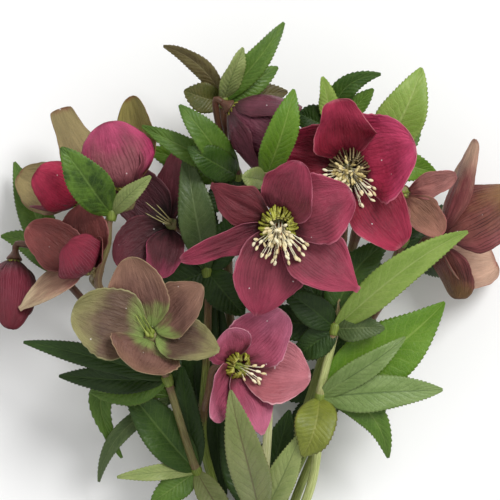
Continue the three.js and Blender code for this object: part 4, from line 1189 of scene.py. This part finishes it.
def stalk_end(name):
    """The last two points of a stalk, straight into the back of its flower's disc."""
    ends = np.array([[0, 0, -DISC_DEPTH - 3], [0, 0, 0.5 - DISC_DEPTH]])
    return [tuple(p) for p in placed(ends, FLOWERS[name])]


def add_disc(piece, name, skin, tone):
    """The receptacle: it widens from the stalk to the disc that carries the sepals."""
    flower = FLOWERS[name]
    at = np.array(flower["at"], float)
    add_lathe(piece, at, flower["face"], DISC_PROFILE, ("stem", skin), tone=tone)


def near(line, place, width):
    """1 where the line passes the place, and away over the width."""
    return bell(np.linalg.norm(line - np.array(place, float), axis=1), width)


def parts_of(name):
    """A stem and its branches."""
    return [STEMS[name], *STEMS[name].get("branches", [])]


def joints_of(name, part):
    """The points of a part's path where bracts clasp it or branches leave it."""
    path = parts_of(name)[part]["path"]
    places = [path[node] for *sits, node, _ in BRACTS.values() if sits == [name, part]]
    return places + ([] if part else [branch["path"][0] for branch in parts_of(name)[1:]])


def add_stalk(piece, line, radius, places, skin, red, seed):
    """A stem or branch, thicker and redder at each place where a bract or a branch sits."""
    tone = red[0] + (red[1] - red[0]) * smooth(0.55, 1.0, np.linspace(0, 1, len(line)))
    for place in places:
        radius = radius + SWELLING * near(line, place, 4.0)
        tone = tone + 0.35 * near(line, place, 6.0)
    add_tube(piece, line, radius, ("stem", skin), STEM_SIDES, seed, tone, rough=0.035)


def make_stem(name, stem, rng):
    """The stem itself, then each branch, as red as the stem is at its top."""
    piece = Piece()
    x, z = SLOTS[stem["slot"]]
    gathered = [(x, y, z) for y in (CUT_Y + stem["cut"], *GATHER_Y)]
    low, high = stem["red"]
    for i, part in enumerate(parts_of(name)):
        points = part["path"] if i else gathered + part["path"]
        if "flower" in part:
            points = points + stalk_end(part["flower"])
            add_disc(piece, part["flower"], stem["skin"], high)
        line = spline(points, BRANCH_POINTS if i else STEM_POINTS)
        end = STALK_RADIUS if i or "flower" in part else STEM_TOP_RADIUS
        radius = np.linspace(STALK_RADIUS if i else STEM_RADIUS, end, len(line))
        red = (high * 0.9 if i else low, high)
        add_stalk(piece, line, radius, joints_of(name, i), stem["skin"], red, pattern_seed(rng))
        if i == 0:
            add_lathe(piece, line[0], line[0] - line[1], CUT_PROFILE, ("small", "cut"), 24)
    piece.make(name + "_skin", "stem", name)


# ---- Bracts ----


def add_leaflet(piece, start, leaflet, rng):
    tip, wide, arch, roll, kind, *sweep = leaflet
    start, tip = np.array(start, float), np.array(tip, float)
    left = unit(np.cross([0, 0, 1.0], tip - start))
    lift = left * (sweep[0] if sweep else 0) * 1.3 + np.array([0, 0, arch * 1.3])
    points = [start, start + (tip - start) * 0.33 + lift, start + (tip - start) * 0.67 + lift, tip]
    long = np.linalg.norm(tip - start)
    teeth = int(np.clip(long / TOOTH_LENGTH, *TEETH))
    v = np.linspace(0, 1, teeth * 3 + 1)
    u = np.linspace(-1, 1, LEAF_COLUMNS)
    at, way = bezier(points, v)
    side = turned(unit(np.cross(way, np.broadcast_to([0, 0, 1.0], way.shape))), way, roll)
    normal = np.cross(side, way)
    U, V = np.meshgrid(u, v)
    body = np.sin(math.pi * V) ** 0.7
    saw = np.append(np.tile([0.0, 0.5, 1.0], teeth), 0.0)[:, None]
    size = TOOTH_DEPTH * smooth(0.12, 0.35, V) * smooth(1.0, 0.85, V) * min(1.0, wide / 12)
    edge = smooth(0.7, 1.0, np.abs(U))
    half = (wide / 2 * np.sin(math.pi * v**0.8) ** 0.9)[:, None] + LEAF_END
    reach = half * np.abs(U) * (1 + 0.05 * two_sided(rng, U, V, 4, 11)) + size * edge * (saw - 0.4)
    fold = math.radians(LEAF_FOLD + rng.uniform(-2, 5))
    x = np.sign(U) * reach * math.cos(fold)
    z = reach * math.sin(fold) - 0.12 * U**2 * half
    z = z + 0.6 * U**2 * body * two_sided(rng, U, V, 6, 15)
    quilt = np.cos(2 * math.pi * (V * SIDE_VEINS - np.abs(U) ** VEIN_CURVE * VEIN_SLANT))
    z = z + 0.12 * quilt * np.sin(math.pi * np.abs(U)) * body
    z = z - 0.35 * bell(U, 0.1) * (1 - V)
    buckle = waves(rng, 3, 2, 6)
    z = z + 0.012 * long * buckle(V) * body
    drift = 0.014 * long * waves(rng, 2, 1.5, 3.5)(V) * body
    shape = surface(at, side, normal, x + drift, z)
    shape = shape + way[:, None] * (size * edge * saw * 0.9)[..., None]
    thin = LEAF_THICK * (1 - 0.5 * np.abs(U) ** 3) + 0.5 * bell(U, 0.09) * (1 - V)
    add_sheet(piece, shape, thin, U, V, ("leaf", kind), rng)


def make_bract(name, bract, rng):
    on, part, node, leaflets = bract
    piece = Piece()
    path = np.array(parts_of(on)[part]["path"], float)
    at = path[node]
    way = unit(path[min(node + 1, len(path) - 1)] - path[max(node - 1, 0)])
    narrow = 0.6 if part else 0.0
    profile = [(radius - narrow, height) for radius, height in SHEATH_PROFILE]
    add_lathe(piece, at, way, profile, ("stem", "lime"), tone=0.15)
    for leaflet in leaflets:
        add_leaflet(piece, at, leaflet, rng)
    piece.make(name + "_skin", "leaf", name)


# ---- Band ----


def make_band():
    """A rubber band wound round the stems."""
    corners = ["low_right", "far_right", "top_right", "top_left", "far_left", "low_left"]
    distance = STEM_RADIUS + GAP + BAND_THICK / 2
    outline = []
    for i, corner in enumerate(corners):
        x, z = SLOTS[corner]
        for a in np.radians(60 * i - 90 + np.linspace(0, 60, 9)):
            outline.append((x + distance * math.cos(a), 0.0, z + distance * math.sin(a)))
    outline = spaced(np.array(outline + outline[:1]), BAND_POINTS)[:-1]
    n, width = len(outline), BAND_WIDTH / 4.4
    way = unit(np.roll(outline, -1, 0) - np.roll(outline, 1, 0))
    outward = np.cross(way, [0, 1.0, 0])
    angle = circle(BAND_SIDES)
    piece = Piece()
    for k in range(BAND_TURNS):
        y = BAND_Y + (k - (BAND_TURNS - 1) / 2) * width * 1.08
        sway = 0.25 * np.sin(circle(n) + k * 1.7)
        centre = outline + np.stack([0 * sway, y + sway, 0 * sway], 1)
        flat = np.sign(np.cos(angle)) * np.abs(np.cos(angle)) ** 0.5 * width / 2
        proud = np.sign(np.sin(angle)) * np.abs(np.sin(angle)) ** 0.5 * BAND_THICK / 2
        points = centre[:, None] + flat[None, :, None] * np.array([0, 1.0, 0])
        points = points + outward[:, None] * proud[None, :, None]
        quads, last = grid_faces(n + 1, BAND_SIDES, closed=True), n * BAND_SIDES
        faces = [tuple(i % last for i in quad) for quad in quads]
        tone = 0.4 * math.sin(k * 2.2)
        piece.add(points, faces, np.zeros((last, 2)), ("small", "rubber"), tone=tone)
    piece.make("band_turns", "band", "band")


# ---- Stage, light and camera ----

# In metres. FIELD is the width of the view at the middle height of the flowers.
FIELD = 0.25
VIEW_CENTRE = (0.0, 0.085, 0.060)
CAMERA_HEIGHT = 2.0
FLOOR = 12.0
WORLD_LIGHT = 0.68
KEY_LIGHT = 2.15
KEY_SPREAD = 24  # degrees that the light spans: how soft its shadows are
KEY_TILT = 38  # degrees from straight above
KEY_TURN = 140  # degrees round, from the picture's lower edge


def make_stage():
    mesh = bpy.data.meshes.new("floor")
    a, b = -FLOOR / 2, FLOOR / 2
    mesh.from_pydata([(a, a, 0), (b, a, 0), (b, b, 0), (a, b, 0)], [], [(0, 1, 2, 3)])
    s = Shader("floor_paper")
    colour = s.mix(s.noise(s.place(), PAPER_CLOUDS), *PAPER)
    mesh.materials.append(s.finish(colour, 0.9, 0.1))
    floor = linked("floor", mesh)


def make_light():
    """Soft even daylight from everywhere, and a broad key light from the upper left."""
    world = bpy.data.worlds.new("studio")
    world.use_nodes = True
    world.node_tree.nodes["Background"].inputs[0].default_value = (1.0, 1.0, 1.0, 1.0)
    world.node_tree.nodes["Background"].inputs[1].default_value = WORLD_LIGHT
    scene = bpy.context.scene
    scene.world = world
    scene.view_settings.view_transform = "Standard"
    key = bpy.data.lights.new("key", "SUN")
    key.energy = KEY_LIGHT
    key.angle = math.radians(KEY_SPREAD)
    lamp = linked("key", key)
    lamp.rotation_euler = (math.radians(KEY_TILT), 0.0, math.radians(KEY_TURN))


def make_camera():
    lens = bpy.data.cameras.new("camera")
    lens.sensor_width = 36.0
    lens.lens = lens.sensor_width * CAMERA_HEIGHT / FIELD
    camera = linked("camera", lens)
    camera.location = (VIEW_CENTRE[0], VIEW_CENTRE[1], VIEW_CENTRE[2] + CAMERA_HEIGHT)
    bpy.context.scene.camera = camera


# ---- The scene ----

make_camera()
make_light()
make_stage()
for flower_name, flower_plan in FLOWERS.items():
    make_flower(flower_name, flower_plan, RNG)
for stem_name, stem_plan in STEMS.items():
    make_stem(stem_name, stem_plan, RNG)
for bract_name, bract_plan in BRACTS.items():
    make_bract(bract_name, bract_plan, RNG)
make_band()
